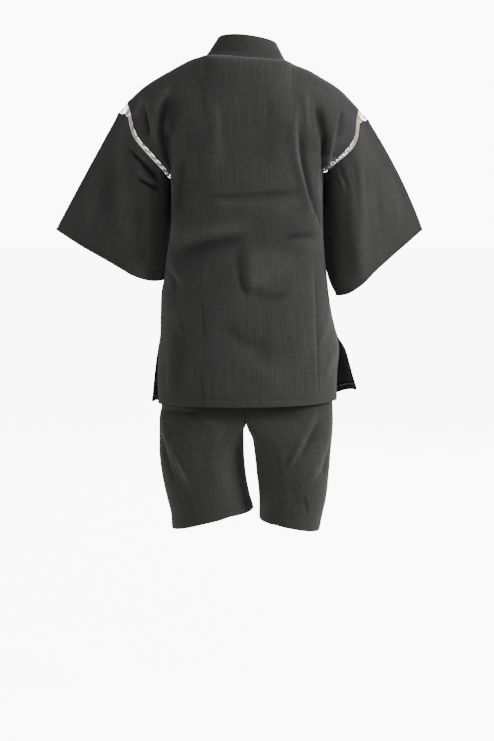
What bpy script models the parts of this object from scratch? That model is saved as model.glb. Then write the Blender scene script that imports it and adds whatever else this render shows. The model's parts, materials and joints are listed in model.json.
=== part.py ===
"""Jinbei set: a wrap jacket with laced-on sleeves and knee-length shorts, hollow as if worn.

+Z is up, the front of the garment faces -Y, +X is the wearer's left.  Metres.
The origin lies in the middle of the neck, level with the base of the collar at the shoulders.
"""
import bpy
import math
import numpy as np

# ---------------------------------------------------------------- driving sizes
CLOTH = 0.0020          # wall of every single layer of crepe
BAND = 0.0030           # doubled cloth of the collar
BAND_PROUD = 0.0005     # the doubled collar stands this far above the panel it is sewn to
LACE = 0.0016           # thickness of the braided lace
SEAM = 0.0003           # two pieces that are sewn together lie this far apart
LACE_SEAM = 0.0006      # the twisted edge of the lace needs a little more
COLLAR_WIDTH = 0.0520
COLLAR_TURN = 0.0080    # width in which the collar turns up from the neckline
COLLAR_END_GAP = 0.0008
COLLAR_BEND = 1.6        # widths of the turn in which the band comes round to its stand
COLLAR_RISE_ROWS = 6     # rows below the shoulder in which the band rises off the front
NAPE_SLANT = {1: -0.60, -1: -0.36}        # how far the band leans in towards each side of the nape
FRONT_SLANT = (-0.62, -0.30, 0.72)        # lean of the standing band on the fronts
NAPE_FALL = {1: -0.10, -1: -0.50}         # and forward, likewise
NAPE_RISE = (-0.10, 0.88)
NECK_F = 0.39           # base of the neck, as a share of the half width at the shoulder
NECK_DEPTH = 0.050      # how far the neckline dips to the back
LAP_LIFT = 0.0065       # the outer front lies this far outside the inner one
RAIL = 0.0026           # edge cord of the lace
RUNG_SHARE = 0.36       # share of each step of the lace that its crossing takes
WAIST_Z = -0.440        # seam of the waistband
WAISTBAND_HEIGHT = 0.034
WAISTBAND_WALL = 0.0026
WAIST_PULL = 0.020       # the elastic draws the middle of the band in by this share
WAIST_EDGE = 0.010
GATHERS = 30            # ripples of the gathered waistband
GATHER_DEPTH = 0.0016
CROTCH_Z = -0.740       # the legs part here at the centre front and centre back
CROTCH_DROP = 0.0550    # and here, lower down, between the thighs
TIE_WIDTH = 0.015
TIE_WALL = 0.0016
TIE_CLEAR = 0.0012      # the ties lie this far off the panel beneath
TAIL_CLEAR = 0.0020
BOW_OUT = 0.0150        # middle of the bow, outside the panel beneath
BOW_F = -0.74           # place of the bow across the front, as a share of the half width
BOW_LEVEL = -0.452
SIDE_TIE_F = -0.965      # the other tie starts beside the side seam
STRAP_SET = 0.0010      # the strap starts this far beyond the edge of the outer front
STRAP_SINK = 0.0010     # and this far below its face
LOOP_LENGTH = 0.050
LOOP_RISE = 0.0045
TAIL_LENGTH = 0.095
TAIL_RISE = 0.0100      # the tails leave the knot this far off the panel
KNOT = (0.0170, 0.0130, 0.0170)
KNOT_TAPER, KNOT_BELLY = 0.72, 0.55       # scale of the knot's ends, and where its full size starts
LOOP_POINTS, TAIL_POINTS = 14, 9
LOOP_START, LOOP_SPREAD = 0.62, 0.45      # shares of the tie's width at the knot, and gained along the loop
TAIL_START = 0.54
LOOP_SIDES = (("bow_loop_outer", 1, 0.10), ("bow_loop_inner", -1, 0.18))     # name, side, lift
# lean, length, place
TAILS = (("bow_tail_outer", 0.30, 1.0, 0.0047), ("bow_tail_inner", -0.05, 0.86, -0.0047))
KNOT_CLEAR = 1.10       # the loops start this share of the knot's half width from its middle


class Table:
    """A short table with named columns, read between its rows along a smooth curve."""

    def __init__(self, names, rows):
        self.names = names
        self.cells = np.array(sorted(rows), dtype=float)

    def at(self, name, key):
        xs, ys = self.cells[:, 0], self.cells[:, self.names.index(name)]
        if key <= xs[0]:
            return float(ys[0])
        if key >= xs[-1]:
            return float(ys[-1])
        i = int(np.searchsorted(xs, key)) - 1
        steps = np.diff(xs)
        slopes = np.diff(ys) / steps
        ends = []
        for k in (i, i + 1):
            if k == 0 or k == len(xs) - 1:
                ends.append(slopes[0 if k == 0 else -1])
            elif slopes[k - 1] * slopes[k] <= 0:
                ends.append(0.0)
            else:
                w1, w2 = 2 * steps[k] + steps[k - 1], steps[k] + 2 * steps[k - 1]
                ends.append((w1 + w2) / (w1 / slopes[k - 1] + w2 / slopes[k]))
        t = (key - xs[i]) / steps[i]
        h = steps[i]
        return float(ys[i] * (1 + 2 * t) * (1 - t) ** 2 + h * ends[0] * t * (1 - t) ** 2
                     + ys[i + 1] * t * t * (3 - 2 * t) + h * ends[1] * t * t * (t - 1))


# ---------------------------------------------------------------- jacket body
# half widths of the side seam and, below the slit, of the loose edges of the back and of each front
BODY = Table(
    ("z", "left", "right", "front_left", "front_right", "back", "front", "back_edge", "front_edge"),
    [(-0.758, 0.1940, 0.1965, 0.2113, 0.2450, 0.1340, 0.1300, 0.016, -0.036),
     (-0.730, 0.1950, 0.1965, 0.2085, 0.2430, 0.1335, 0.1300, 0.013, -0.034),
     (-0.700, 0.1960, 0.1970, 0.2050, 0.2310, 0.1330, 0.1290, 0.009, -0.026),
     (-0.670, 0.1950, 0.1995, 0.2010, 0.2170, 0.1315, 0.1280, 0.005, -0.018),
     (-0.640, 0.1930, 0.2020, 0.1960, 0.2080, 0.1300, 0.1270, 0.002, -0.009),
     (-0.606, 0.1905, 0.1970, 0.1905, 0.1970, 0.1280, 0.1255, 0.000, 0.000),
     (-0.560, 0.1895, 0.1860, 0.1895, 0.1860, 0.1260, 0.1230, 0.000, 0.000),
     (-0.520, 0.1880, 0.1795, 0.1880, 0.1795, 0.1230, 0.1210, 0.000, 0.000),
     (-0.480, 0.1810, 0.1750, 0.1810, 0.1750, 0.1200, 0.1180, 0.000, 0.000),
     (-0.420, 0.1720, 0.1685, 0.1720, 0.1685, 0.1170, 0.1150, 0.000, 0.000),
     (-0.360, 0.1640, 0.1650, 0.1640, 0.1650, 0.1180, 0.1140, 0.000, 0.000),
     (-0.300, 0.1640, 0.1645, 0.1640, 0.1645, 0.1220, 0.1150, 0.000, 0.000),
     (-0.250, 0.1660, 0.1660, 0.1660, 0.1660, 0.1250, 0.1170, 0.000, 0.000)])

# from the shoulder to the underarm, at the steps of the lace; columns: x, y and z of the body's seam,
# then x, y and z of the sleeve's edge
ARM_LEFT = [(0.2593, 0.0000, -0.1040, 0.2780, 0.0000, -0.1240),
            (0.2555, 0.0120, -0.1125, 0.2665, 0.0130, -0.1320),
            (0.2500, 0.0260, -0.1270, 0.2585, 0.0275, -0.1410),
            (0.2465, 0.0420, -0.1440, 0.2545, 0.0435, -0.1550),
            (0.2400, 0.0550, -0.1660, 0.2480, 0.0575, -0.1750),
            (0.2290, 0.0620, -0.1855, 0.2365, 0.0650, -0.1940),
            (0.2150, 0.0660, -0.2020, 0.2222, 0.0690, -0.2110),
            (0.2010, 0.0650, -0.2175, 0.2080, 0.0680, -0.2265),
            (0.1880, 0.0580, -0.2320, 0.1950, 0.0610, -0.2410),
            (0.1765, 0.0460, -0.2450, 0.1845, 0.0485, -0.2540),
            (0.1690, 0.0260, -0.2565, 0.1795, 0.0280, -0.2635),
            (0.1660, 0.0000, -0.2620, 0.1780, 0.0000, -0.2665)]
ARM_RIGHT = [(0.2426, 0.0000, -0.1190, 0.2620, 0.0000, -0.1387),
             (0.2395, 0.0100, -0.1265, 0.2525, 0.0120, -0.1465),
             (0.2365, 0.0230, -0.1390, 0.2455, 0.0250, -0.1540),
             (0.2345, 0.0380, -0.1530, 0.2428, 0.0400, -0.1655),
             (0.2320, 0.0510, -0.1700, 0.2400, 0.0530, -0.1805),
             (0.2255, 0.0600, -0.1890, 0.2332, 0.0630, -0.1980),
             (0.2145, 0.0650, -0.2045, 0.2218, 0.0680, -0.2135),
             (0.2010, 0.0650, -0.2165, 0.2080, 0.0680, -0.2257),
             (0.1880, 0.0590, -0.2275, 0.1950, 0.0620, -0.2368),
             (0.1770, 0.0470, -0.2375, 0.1850, 0.0495, -0.2468),
             (0.1690, 0.0270, -0.2460, 0.1795, 0.0290, -0.2532),
             (0.1660, 0.0000, -0.2500, 0.1780, 0.0000, -0.2545)]
ARMS = {1: np.array(ARM_LEFT), -1: np.array(ARM_RIGHT)}
ARM_STEPS = len(ARM_LEFT) - 1

# height of the top of the jacket across its width
SHOULDER = Table(
    ("f", "z"),
    [(-1.00, -0.1190), (-0.94, -0.1035), (-0.83, -0.0796), (-0.65, -0.0525), (-0.55, -0.0383),
     (-0.43, -0.0240), (-0.36, -0.0172), (0.00, -0.0120), (0.32, -0.0055), (0.39, -0.0072),
     (0.46, -0.0125), (0.61, -0.0325), (0.85, -0.0696), (1.00, -0.1040)])

# inner edge of each front: the collar's seam, and the free edge below the end of the collar
FRONT_EDGE = Table(
    ("level", "seam", "free"),
    [(-0.7545, -0.30, -0.60), (-0.5000, -0.27, -0.56), (-0.4300, -0.265, -0.555), (-0.3850, -0.155, -0.45),
     (-0.3400, -0.035, -0.34), (-0.3000, 0.070, -0.24), (-0.2620, 0.170, -0.14), (-0.2300, 0.220, -0.06),
     (-0.1990, 0.285, 0.035), (-0.1670, 0.335, 0.105), (-0.1435, 0.370, 0.155), (-0.1200, 0.388, 0.185),
     (-0.1040, 0.390, 0.195)])

HEM = {1: (-0.7465, -0.7515, -0.7545), -1: (-0.7330, -0.7550, -0.7600)}   # right edge, middle, left edge
SLIT_ROW = 4
COLLAR_END_ROW = 8
LOWER_ROWS = (0.0, 0.075, 0.15, 0.225, 0.30, 0.39, 0.48, 0.57, 0.66, 0.74, 0.82, 0.91, 1.0)
COLUMNS = (1.0, 0.9865, 0.946, 0.874, 0.785, 0.686, 0.587, 0.489, NECK_F, 0.29, 0.19, 0.09)
FRONT_COLUMNS = COLUMNS[:9]
UNDERARM_Z = {1: -0.2620, -1: -0.2500}
SHOULDER_END_Z = {1: -0.1040, -1: -0.1190}
SHOULDER_ROUND = 2.4     # how squarely the shoulders turn over from back to front
SECTION_POWER = 2.5      # squareness of the horizontal sections
SECTION_ROOT = 2.0
BOXY_ROOT = 3.6          # squareness of the corners where the cloth falls from the underarm
BOXY_FROM = 0.45         # share of the height below the underarm where the corners start to square up
UPPER_POWER = 3.0        # and of the sections above the underarm
UPPER_ROOT = 0.87
CORNER_SHARE = 0.19      # the change is made in this share of the armhole's height
CORNER_EASE = 0.6
HEM_BOW = 2.2            # how late towards its sides the hem turns up
NAPE_BOW = 2.2           # form of the neckline at the back
FOLD_END = 0.25          # share of a fold in which it fades at each end
LAP_TOP, LAP_TOP_FADE = -0.115, 0.055     # the outer front lifts off below here
LAP_SIDE, LAP_SIDE_FADE = 0.158, 0.040    # and towards the middle from here
EDGE_FADE = 0.06         # folds fade in this share of the width before a side seam
TOP_FADE = 1.5           # and in this many rows below the shoulder

# largest folds; columns: x0, z0, x1, z1 of the line of the fold, its half width and its height (negative: a
# trough)
BACK_FOLDS = [(-0.112, -0.110, -0.118, -0.200, 0.013, 0.0045),
              (-0.118, -0.200, -0.150, -0.330, 0.013, 0.0040),
              (-0.160, -0.130, -0.163, -0.200, 0.012, -0.0060),
              (-0.196, -0.115, -0.170, -0.220, 0.012, 0.0045),
              (0.188, -0.085, 0.178, -0.220, 0.013, -0.0060),
              (0.210, -0.105, 0.200, -0.180, 0.012, 0.0040),
              (-0.010, -0.330, 0.160, -0.400, 0.026, -0.0050),
              (0.010, -0.440, 0.004, -0.530, 0.016, -0.0050),
              (0.165, -0.440, 0.140, -0.600, 0.018, 0.0050),
              (0.096, -0.540, 0.094, -0.740, 0.014, 0.0035),
              (-0.150, -0.470, -0.146, -0.740, 0.014, 0.0035)]
FRONT_FOLDS = [(-0.135, -0.180, -0.120, -0.360, 0.016, 0.0045),
               (0.135, -0.180, 0.110, -0.360, 0.016, 0.0045),
               (0.150, -0.420, 0.090, -0.560, 0.020, 0.0045),
               (-0.165, -0.500, -0.160, -0.700, 0.016, -0.0045)]


def smooth(t):
    t = min(1.0, max(0.0, t))
    return t * t * (3 - 2 * t)


def unit(v):
    return v / np.linalg.norm(v)


def relief(folds, x, z):
    """Height of the folds at a place of a panel."""
    total = 0.0
    for x0, z0, x1, z1, width, height in folds:
        dx, dz = x1 - x0, z1 - z0
        t = ((x - x0) * dx + (z - z0) * dz) / (dx * dx + dz * dz)
        if not 0.0 < t < 1.0:
            continue
        away = math.hypot(x - x0 - t * dx, z - z0 - t * dz)
        ends = smooth(t / FOLD_END) * smooth((1 - t) / FOLD_END)
        total += height * ends * math.exp(-(away / width) ** 2)
    return total


def lap_lift(x, z):
    """How far the outer front is carried over the inner one."""
    return LAP_LIFT * smooth((LAP_TOP - z) / LAP_TOP_FADE) * smooth((LAP_SIDE - x) / LAP_SIDE_FADE)


def section(f, share=0.0, fall=1.0):
    """How far the cloth stands out across the width.

    It falls squarely from the underarm; above it, by the share of the armhole's height, it runs flatly on.
    """
    above = min(1.0, share / CORNER_SHARE) ** CORNER_EASE
    boxy = SECTION_ROOT + (BOXY_ROOT - SECTION_ROOT) * smooth((fall - BOXY_FROM) / (1 - BOXY_FROM))
    if share > 0:
        boxy = BOXY_ROOT
    root = boxy + (UPPER_ROOT - boxy) * above
    squareness = SECTION_POWER + (UPPER_POWER - SECTION_POWER) * above
    return max(0.0, 1 - abs(f) ** squareness) ** (1 / root)


def body_level(row):
    """Height of a row of the jacket at its left edge, used as the key of the front's table."""
    if row <= len(LOWER_ROWS) - 1:
        i = min(int(row), len(LOWER_ROWS) - 2)
        u = LOWER_ROWS[i] + (LOWER_ROWS[i + 1] - LOWER_ROWS[i]) * (row - i)
        return HEM[1][2] + (UNDERARM_Z[1] - HEM[1][2]) * u
    return arm_at(1, len(LOWER_ROWS) - 1 + ARM_STEPS - row)[2]


def arm_at(hand, step):
    """A row of the armhole's table at a step counted from the shoulder, in a straight line between rows."""
    rows = ARMS[hand]
    i = min(int(step), ARM_STEPS - 1)
    return rows[i] + (rows[i + 1] - rows[i]) * (step - i)


def body_point(face, f, row):
    """The jacket body: face 1 is the back, -1 the front; f runs from -1 (right) to 1 (left), rows go up."""
    hand = 1 if f >= 0 else -1
    low_rows = len(LOWER_ROWS) - 1
    if row <= low_rows:
        i = min(int(row), low_rows - 1)
        u = LOWER_ROWS[i] + (LOWER_ROWS[i + 1] - LOWER_ROWS[i]) * (row - i)
        right, middle, left = HEM[face]
        hem = middle + ((left if f > 0 else right) - middle) * abs(f) ** HEM_BOW
        arm = (UNDERARM_Z[1] * (1 + f) + UNDERARM_Z[-1] * (1 - f)) / 2
        z = hem + (arm - hem) * u
        side = {1: "left", -1: "right"}[hand]
        half = BODY.at(side if face == 1 else "front_" + side, z)
        depth = BODY.at("back" if face == 1 else "front", z)
        edge = BODY.at("back_edge" if face == 1 else "front_edge", z)
        if row >= SLIT_ROW:
            half, edge = BODY.at(side, z), 0.0
        x = f * half
        y = edge + (face * depth - edge) * section(f, 0.0, u)
    else:
        step = low_rows + ARM_STEPS - row
        spots = {h: arm_at(h, step) for h in (1, -1)}
        w = {h: (spots[h][2] - UNDERARM_Z[h]) / (SHOULDER_END_Z[h] - UNDERARM_Z[h]) for h in (1, -1)}
        here = (w[1] * (1 + f) + w[-1] * (1 - f)) / 2
        low = (UNDERARM_Z[1] * (1 + f) + UNDERARM_Z[-1] * (1 - f)) / 2
        z = low + (SHOULDER.at("z", f) - low) * here
        depth = BODY.at("back" if face == 1 else "front", -0.25)
        turn = max(0.0, 1 - here ** SHOULDER_ROUND) ** (1 / SHOULDER_ROUND)
        x = f * spots[hand][0]
        edge = face * spots[hand][1]
        y = edge + (face * depth * turn - edge) * section(f, here)
        if face == 1 and abs(f) < NECK_F:
            y += NECK_DEPTH * (1 - (abs(f) / NECK_F) ** NAPE_BOW) ** CORNER_EASE * here ** 4
    return np.array((x, y, z))


def body_normal(face, f, row, top_row):
    """Outward direction of the body's form."""
    e, g = 0.01, 0.05
    lean = max(-1 + 2 * e, min(1 - 2 * e, f))
    across = body_point(face, lean + e, row) - body_point(face, lean - e, row)
    low, high = max(0.0, row - g), min(top_row, row + g)
    up = body_point(face, f * 0.995, high) - body_point(face, f * 0.995, low)
    out = np.cross(across, up) * (-face)
    length = np.linalg.norm(out)
    return out / length


BODY_TOP = len(LOWER_ROWS) - 1 + ARM_STEPS


def body_pair(face, f, row, hand=0):
    """Outer and inner point of a panel at a place; the outer front is carried over the inner one."""
    spot = body_point(face, f, row)
    out = body_normal(face, f, row, BODY_TOP)
    if row == BODY_TOP and abs(f) >= NECK_F:
        out = unit(np.array((out[0], 0.0, out[2])))
    elif abs(f) == 1.0 and row < SLIT_ROW:
        out = unit(np.array((math.copysign(1.0, f), face * 0.5, 0.0)))
    elif abs(f) == 1.0 and row <= len(LOWER_ROWS) - 1:
        out = np.array((math.copysign(1.0, f), 0.0, 0.0))
    edge_fade = smooth((1 - abs(f)) / EDGE_FADE) * smooth((BODY_TOP - row) / TOP_FADE)
    spot = spot + out * relief(BACK_FOLDS if face == 1 else FRONT_FOLDS, spot[0], spot[2]) * edge_fade
    if hand == 1:
        spot = spot + np.array((0.0, -1.0, 0.0)) * lap_lift(spot[0], spot[2])
    spot = spot + np.array((0.0, face * SEAM / 2, 0.0))
    return spot, spot - out * CLOTH


# ---------------------------------------------------------------- solids from sections
def finish(name, vertices, faces, cloth):
    mesh = bpy.data.meshes.new(name)
    mesh.from_pydata([tuple(float(c) for c in v) for v in vertices], [], faces)
    mesh.validate()
    mesh.materials.append(cloth)
    thing = bpy.data.objects.new(name, mesh)
    garment.objects.link(thing)
    volume = 0.0
    for face in mesh.polygons:
        ring = [np.array(mesh.vertices[i].co) for i in face.vertices]
        for k in range(1, len(ring) - 1):
            volume += float(np.dot(ring[0], np.cross(ring[k], ring[k + 1]))) / 6
    if volume < 0:
        mesh.flip_normals()
    return thing


def shell(name, outer, inner, cloth, kept=None, closed=False):
    """A wall between two grids of points; kept says which fields of the grid are cloth."""
    rows, cols = len(outer), len(outer[0])
    spans = cols if closed else cols - 1
    if kept is None:
        kept = [[True] * spans for _ in range(rows - 1)]
    vertices, index, faces = [], {}, []

    def number(side, r, c):
        key = (side, r, c % cols)
        if key not in index:
            index[key] = len(vertices)
            vertices.append((outer if side == 0 else inner)[r][c % cols])
        return index[key]

    def cloth_at(r, c):
        if closed:
            c %= spans
        return 0 <= r < rows - 1 and 0 <= c < spans and kept[r][c]

    for r in range(rows - 1):
        for c in range(spans):
            if not kept[r][c]:
                continue
            o = [number(0, r, c), number(0, r, c + 1), number(0, r + 1, c + 1), number(0, r + 1, c)]
            n = [number(1, r, c), number(1, r, c + 1), number(1, r + 1, c + 1), number(1, r + 1, c)]
            faces.append(o)
            faces.append(n[::-1])
            around = ((0, 1, (r - 1, c)), (1, 2, (r, c + 1)), (2, 3, (r + 1, c)), (3, 0, (r, c - 1)))
            for a, b, beside in around:
                if not cloth_at(*beside):
                    faces.append([o[b], o[a], n[a], n[b]])
    return finish(name, vertices, faces, cloth)


def cloth_material(name, colour, rough):
    stuff = bpy.data.materials.new(name)
    stuff.use_nodes = True
    paint = stuff.node_tree.nodes["Principled BSDF"]
    paint.inputs["Base Color"].default_value = (*colour, 1.0)
    paint.inputs["Roughness"].default_value = rough
    stuff.diffuse_color = (*colour, 1.0)
    return stuff


# ---------------------------------------------------------------- pieces of the jacket
def back_columns():
    left = list(COLUMNS)
    return [-f for f in left] + [0.0] + left[::-1]


def make_back():
    fs = back_columns()
    pairs = [[body_pair(1, f, row) for f in fs] for row in range(BODY_TOP + 1)]
    shell("jacket_back", [[p[0] for p in line] for line in pairs], [[p[1] for p in line] for line in pairs],
          charcoal["jacket_back"])
    return fs, pairs


def front_f(hand, row, share):
    """Columns of a front: from the side or armhole (1) to the collar's seam (NECK_F of the top row)."""
    seam = FRONT_EDGE.at("seam", body_level(row))
    return hand * (1 - (1 - seam) * (1 - share) / (1 - NECK_F))


def make_front(hand, name):
    pairs, kept = [], []
    for row in range(BODY_TOP + 1):
        line = [body_pair(-1, front_f(hand, row, share), row, hand) for share in FRONT_COLUMNS]
        level = body_level(row)
        seam, free = FRONT_EDGE.at("seam", level), FRONT_EDGE.at("free", level)
        for part in (0.5, 1.0):
            line.append(body_pair(-1, hand * (seam + (free - seam) * part), row, hand))
        pairs.append(line)
    plain = len(FRONT_COLUMNS) - 1
    for row in range(BODY_TOP):
        kept.append([True] * plain + [row < COLLAR_END_ROW] * 2)
    shell(name, [[p[0] for p in line] for line in pairs], [[p[1] for p in line] for line in pairs],
          charcoal[name], kept)
    return pairs


def make_collar(back_fs, back_pairs, fronts):
    """One band: up the right front, round the neck and down the left front."""
    plain = len(FRONT_COLUMNS) - 1
    rows = range(COLLAR_END_ROW, BODY_TOP)
    stations = []
    for row in rows:
        stations.append((-1, row, fronts[-1][row][plain]))
    for f, pair in zip(back_fs, back_pairs[BODY_TOP]):
        if abs(f) <= NECK_F:
            stations.append((0, f, pair))
    for row in reversed(rows):
        stations.append((1, row, fronts[1][row][plain]))
    edges = [s[2] for s in stations]
    widths = (SEAM, COLLAR_TURN, COLLAR_WIDTH * 0.55, COLLAR_WIDTH)
    grid = []
    for k, (kind, value, pair) in enumerate(stations):
        spot, out = pair[0], unit(pair[0] - pair[1])
        before, after = edges[max(0, k - 1)][0], edges[min(len(edges) - 1, k + 1)][0]
        along = unit(after - before)
        inward = unit(np.cross(along, out))
        if kind == 0:
            stand, share = 1.0, value / NECK_F
            side = 1 if share > 0 else -1
            fall = NAPE_RISE[0] + (NAPE_FALL[side] - NAPE_RISE[0]) * abs(share)
            slant = unit(np.array((NAPE_SLANT[side] * share, fall, NAPE_RISE[1])))
            if abs(value) == NECK_F:
                inward = np.array((-math.copysign(1.0, value), 0.0, 0.08))
        else:
            height = (value - BODY_TOP + COLLAR_RISE_ROWS) / COLLAR_RISE_ROWS
            stand = smooth(height)
            slant = unit(np.array((FRONT_SLANT[0] * kind, *FRONT_SLANT[1:])))
            seam = FRONT_EDGE.at("seam", body_level(value))
            free = FRONT_EDGE.at("free", body_level(value))
        line = []
        for width in widths:
            bend = smooth(width / (COLLAR_BEND * COLLAR_TURN))
            way = unit(inward * (1 - bend) + slant * bend)
            first = min(width, COLLAR_TURN)
            half_way = unit(inward + slant * smooth(first / (COLLAR_BEND * COLLAR_TURN)))
            risen = spot + half_way * first + way * max(0.0, width - COLLAR_TURN)
            if kind != 0 and stand < 1.0:
                part = width / COLLAR_WIDTH
                flat = body_pair(-1, kind * (seam + (free - seam) * part), value, kind)[0]
                risen = flat + (risen - flat) * stand
            line.append(risen)
        grid.append(line)
    for end, beside in ((0, 1), (-1, -2)):
        drawn = [spot + unit(other - spot) * COLLAR_END_GAP for spot, other in zip(grid[end], grid[beside])]
        grid[end] = drawn
    outer, inner = [], []
    for k, line in enumerate(grid):
        outs = []
        for c, spot in enumerate(line):
            if c == 0:
                outs.append(unit(edges[k][0] - edges[k][1]))
                continue
            along = grid[min(len(grid) - 1, k + 1)][c] - grid[max(0, k - 1)][c]
            across = line[min(len(line) - 1, c + 1)] - line[c - 1]
            out = unit(np.cross(across, along))
            if np.dot(out, outs[-1]) < 0:
                out = -out
            outs.append(out)
        outer.append([spot + out * BAND_PROUD for spot, out in zip(line, outs)])
        inner.append([spot + out * (BAND_PROUD - BAND) for spot, out in zip(line, outs)])
    shell("collar", outer, inner, charcoal["collar"])


# ---------------------------------------------------------------- sleeves and lace
# edge of each cuff from the fold on top to the underarm seam: x, y at the back, y at the front, z
CUFF_NAMES = ("part", "x", "back", "front", "z")
CUFF_LEFT = Table(CUFF_NAMES, [
    (0.00, 0.4215, -0.0200, -0.0200, -0.3762), (0.25, 0.3620, 0.0010, -0.0400, -0.4135),
    (0.45, 0.3130, 0.0160, -0.0500, -0.4400), (0.62, 0.2740, 0.0390, -0.0600, -0.4610),
    (0.75, 0.2430, 0.0560, -0.0620, -0.4775), (0.85, 0.2200, 0.0560, -0.0590, -0.4850),
    (0.94, 0.1975, 0.0370, -0.0450, -0.4885), (1.00, 0.1868, 0.0000, 0.0000, -0.4875)])
CUFF_RIGHT = Table(CUFF_NAMES, [
    (0.00, 0.3871, -0.0200, -0.0200, -0.3760), (0.20, 0.3480, -0.0010, -0.0360, -0.4090),
    (0.40, 0.3100, 0.0150, -0.0490, -0.4400), (0.58, 0.2760, 0.0380, -0.0600, -0.4690),
    (0.72, 0.2500, 0.0560, -0.0620, -0.4940), (0.84, 0.2290, 0.0570, -0.0590, -0.5090),
    (0.93, 0.2100, 0.0400, -0.0450, -0.5185), (1.00, 0.1960, 0.0000, 0.0000, -0.5218)])
CUFFS = {1: CUFF_LEFT, -1: CUFF_RIGHT}
SLEEVE_ROWS = (0.0, 0.10, 0.22, 0.35, 0.50, 0.65, 0.80, 0.90, 1.0)
TOP_SWELL = {1: 0.001, -1: 0.009}        # how far the fold on top bows outwards
SHARP_WALL = 1.25        # the wall is this much deeper where the sleeve is folded sharply
FRONT_SHARE = 0.7        # share of the folds' height on the front of the sleeves and legs
# how far the underarm seam is drawn in to the body's side and turned to the front, along the seam
UNDER_EASE = 6
UNDER_LINE = Table(("t", "left", "right", "turn"), [
    (0.00, 0.0000, 0.0000, 0.000), (0.10, -0.0122, -0.0130, -0.018), (0.25, -0.0142, -0.0165, -0.036),
    (0.38, -0.0155, -0.0182, -0.042), (0.52, -0.0140, -0.0195, -0.044), (0.70, -0.0092, -0.0185, -0.038),
    (0.87, -0.0040, -0.0125, -0.020), (1.00, 0.0000, 0.0000, 0.000)])
SLEEVE_FOLDS = {
    1: [(0.196, -0.262, 0.262, -0.190, 0.010, -0.0050),
        (0.205, -0.290, 0.290, -0.230, 0.011, -0.0045),
        (0.300, -0.210, 0.330, -0.400, 0.018, 0.0045),
        (0.235, -0.300, 0.250, -0.460, 0.018, 0.0040)],
    -1: [(-0.262, -0.200, -0.262, -0.470, 0.014, 0.0060),
         (-0.215, -0.270, -0.225, -0.480, 0.015, -0.0045),
         (-0.300, -0.230, -0.330, -0.400, 0.016, -0.0035)]}


def sleeve_part(hand):
    """Share of the way round from the fold to the underarm seam, at the steps of the lace."""
    rows = ARMS[hand][:, 3:6]
    lengths = np.concatenate(([0.0], np.cumsum(np.linalg.norm(np.diff(rows, axis=0), axis=1))))
    return lengths / lengths[-1]


def sleeve_point(hand, column, t):
    """The sleeve: column 0 is the fold on top, then the back, the underarm seam and the front."""
    step = column if column <= ARM_STEPS else 2 * ARM_STEPS - column
    face = 1 if column <= ARM_STEPS else -1
    whole = int(step)
    parts = sleeve_part(hand)
    part = parts[whole] + (parts[min(ARM_STEPS, whole + 1)] - parts[whole]) * (step - whole)
    spot = arm_at(hand, step)[3:6]
    start = np.array((spot[0], face * spot[1], spot[2]))
    cuff = CUFFS[hand]
    end = np.array((cuff.at("x", part), cuff.at("back" if face == 1 else "front", part), cuff.at("z", part)))
    point = start + (end - start) * t
    point[0] += 4 * t * (1 - t) * TOP_SWELL[hand] * (1 - part) ** 2
    point[0] += UNDER_LINE.at({1: "left", -1: "right"}[hand], t) * part ** UNDER_EASE
    point[1] += UNDER_LINE.at("turn", t) * part ** UNDER_EASE
    return point * np.array((hand, 1.0, 1.0))


def sleeve_pair(hand, column, t):
    ring = 2 * ARM_STEPS
    spot = sleeve_point(hand, column, t)
    sharp = column == 0 or column == ARM_STEPS
    e = 0.4
    round_about = sleeve_point(hand, (column + e) % ring, t) - sleeve_point(hand, (column - e) % ring, t)
    low, high = max(0.0, t - 0.02), min(1.0, t + 0.02)
    along = sleeve_point(hand, column, high) - sleeve_point(hand, column, low)
    out = unit(np.cross(along, round_about)) * hand
    if sharp:
        out = unit(np.array((out[0], out[1] * 0.2, out[2])))
    face = 1 if 0 < column < ARM_STEPS else -1
    inside = smooth(min(column % ARM_STEPS, ARM_STEPS - column % ARM_STEPS) / 1.5) * smooth(t / 0.08)
    if face == 1:
        spot = spot + out * relief(SLEEVE_FOLDS[hand], spot[0], spot[2]) * inside
    else:
        spot = spot + out * FRONT_SHARE * relief(SLEEVE_FOLDS[hand], spot[0], spot[2]) * inside
    depth = CLOTH * (SHARP_WALL if sharp else 1.0)
    return spot, spot - out * depth


def make_sleeve(hand, name):
    ring = 2 * ARM_STEPS
    pairs = [[sleeve_pair(hand, column, t) for column in range(ring)] for t in SLEEVE_ROWS]
    shell(name, [[p[0] for p in line] for line in pairs], [[p[1] for p in line] for line in pairs],
          charcoal[name], closed=True)
    return pairs[:2]


def seam_spot(pairs, beside, i, part):
    """Middle of a cut edge and the direction off the cloth there, between two rows of the edge."""
    found = []
    for k in (i, i + 1):
        middle = (pairs[k][0] + pairs[k][1]) / 2
        ahead, behind = pairs[min(len(pairs) - 1, k + 1)][0], pairs[max(0, k - 1)][0]
        along, out = unit(ahead - behind), unit(pairs[k][0] - pairs[k][1])
        off = unit(np.cross(along, out))
        if np.dot(off, beside[k][0] - pairs[k][0]) > 0:
            off = -off
        found.append((middle, off))
    (m0, o0), (m1, o1) = found
    return m0 + (m1 - m0) * part, unit(o0 + (o1 - o0) * part)


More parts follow.
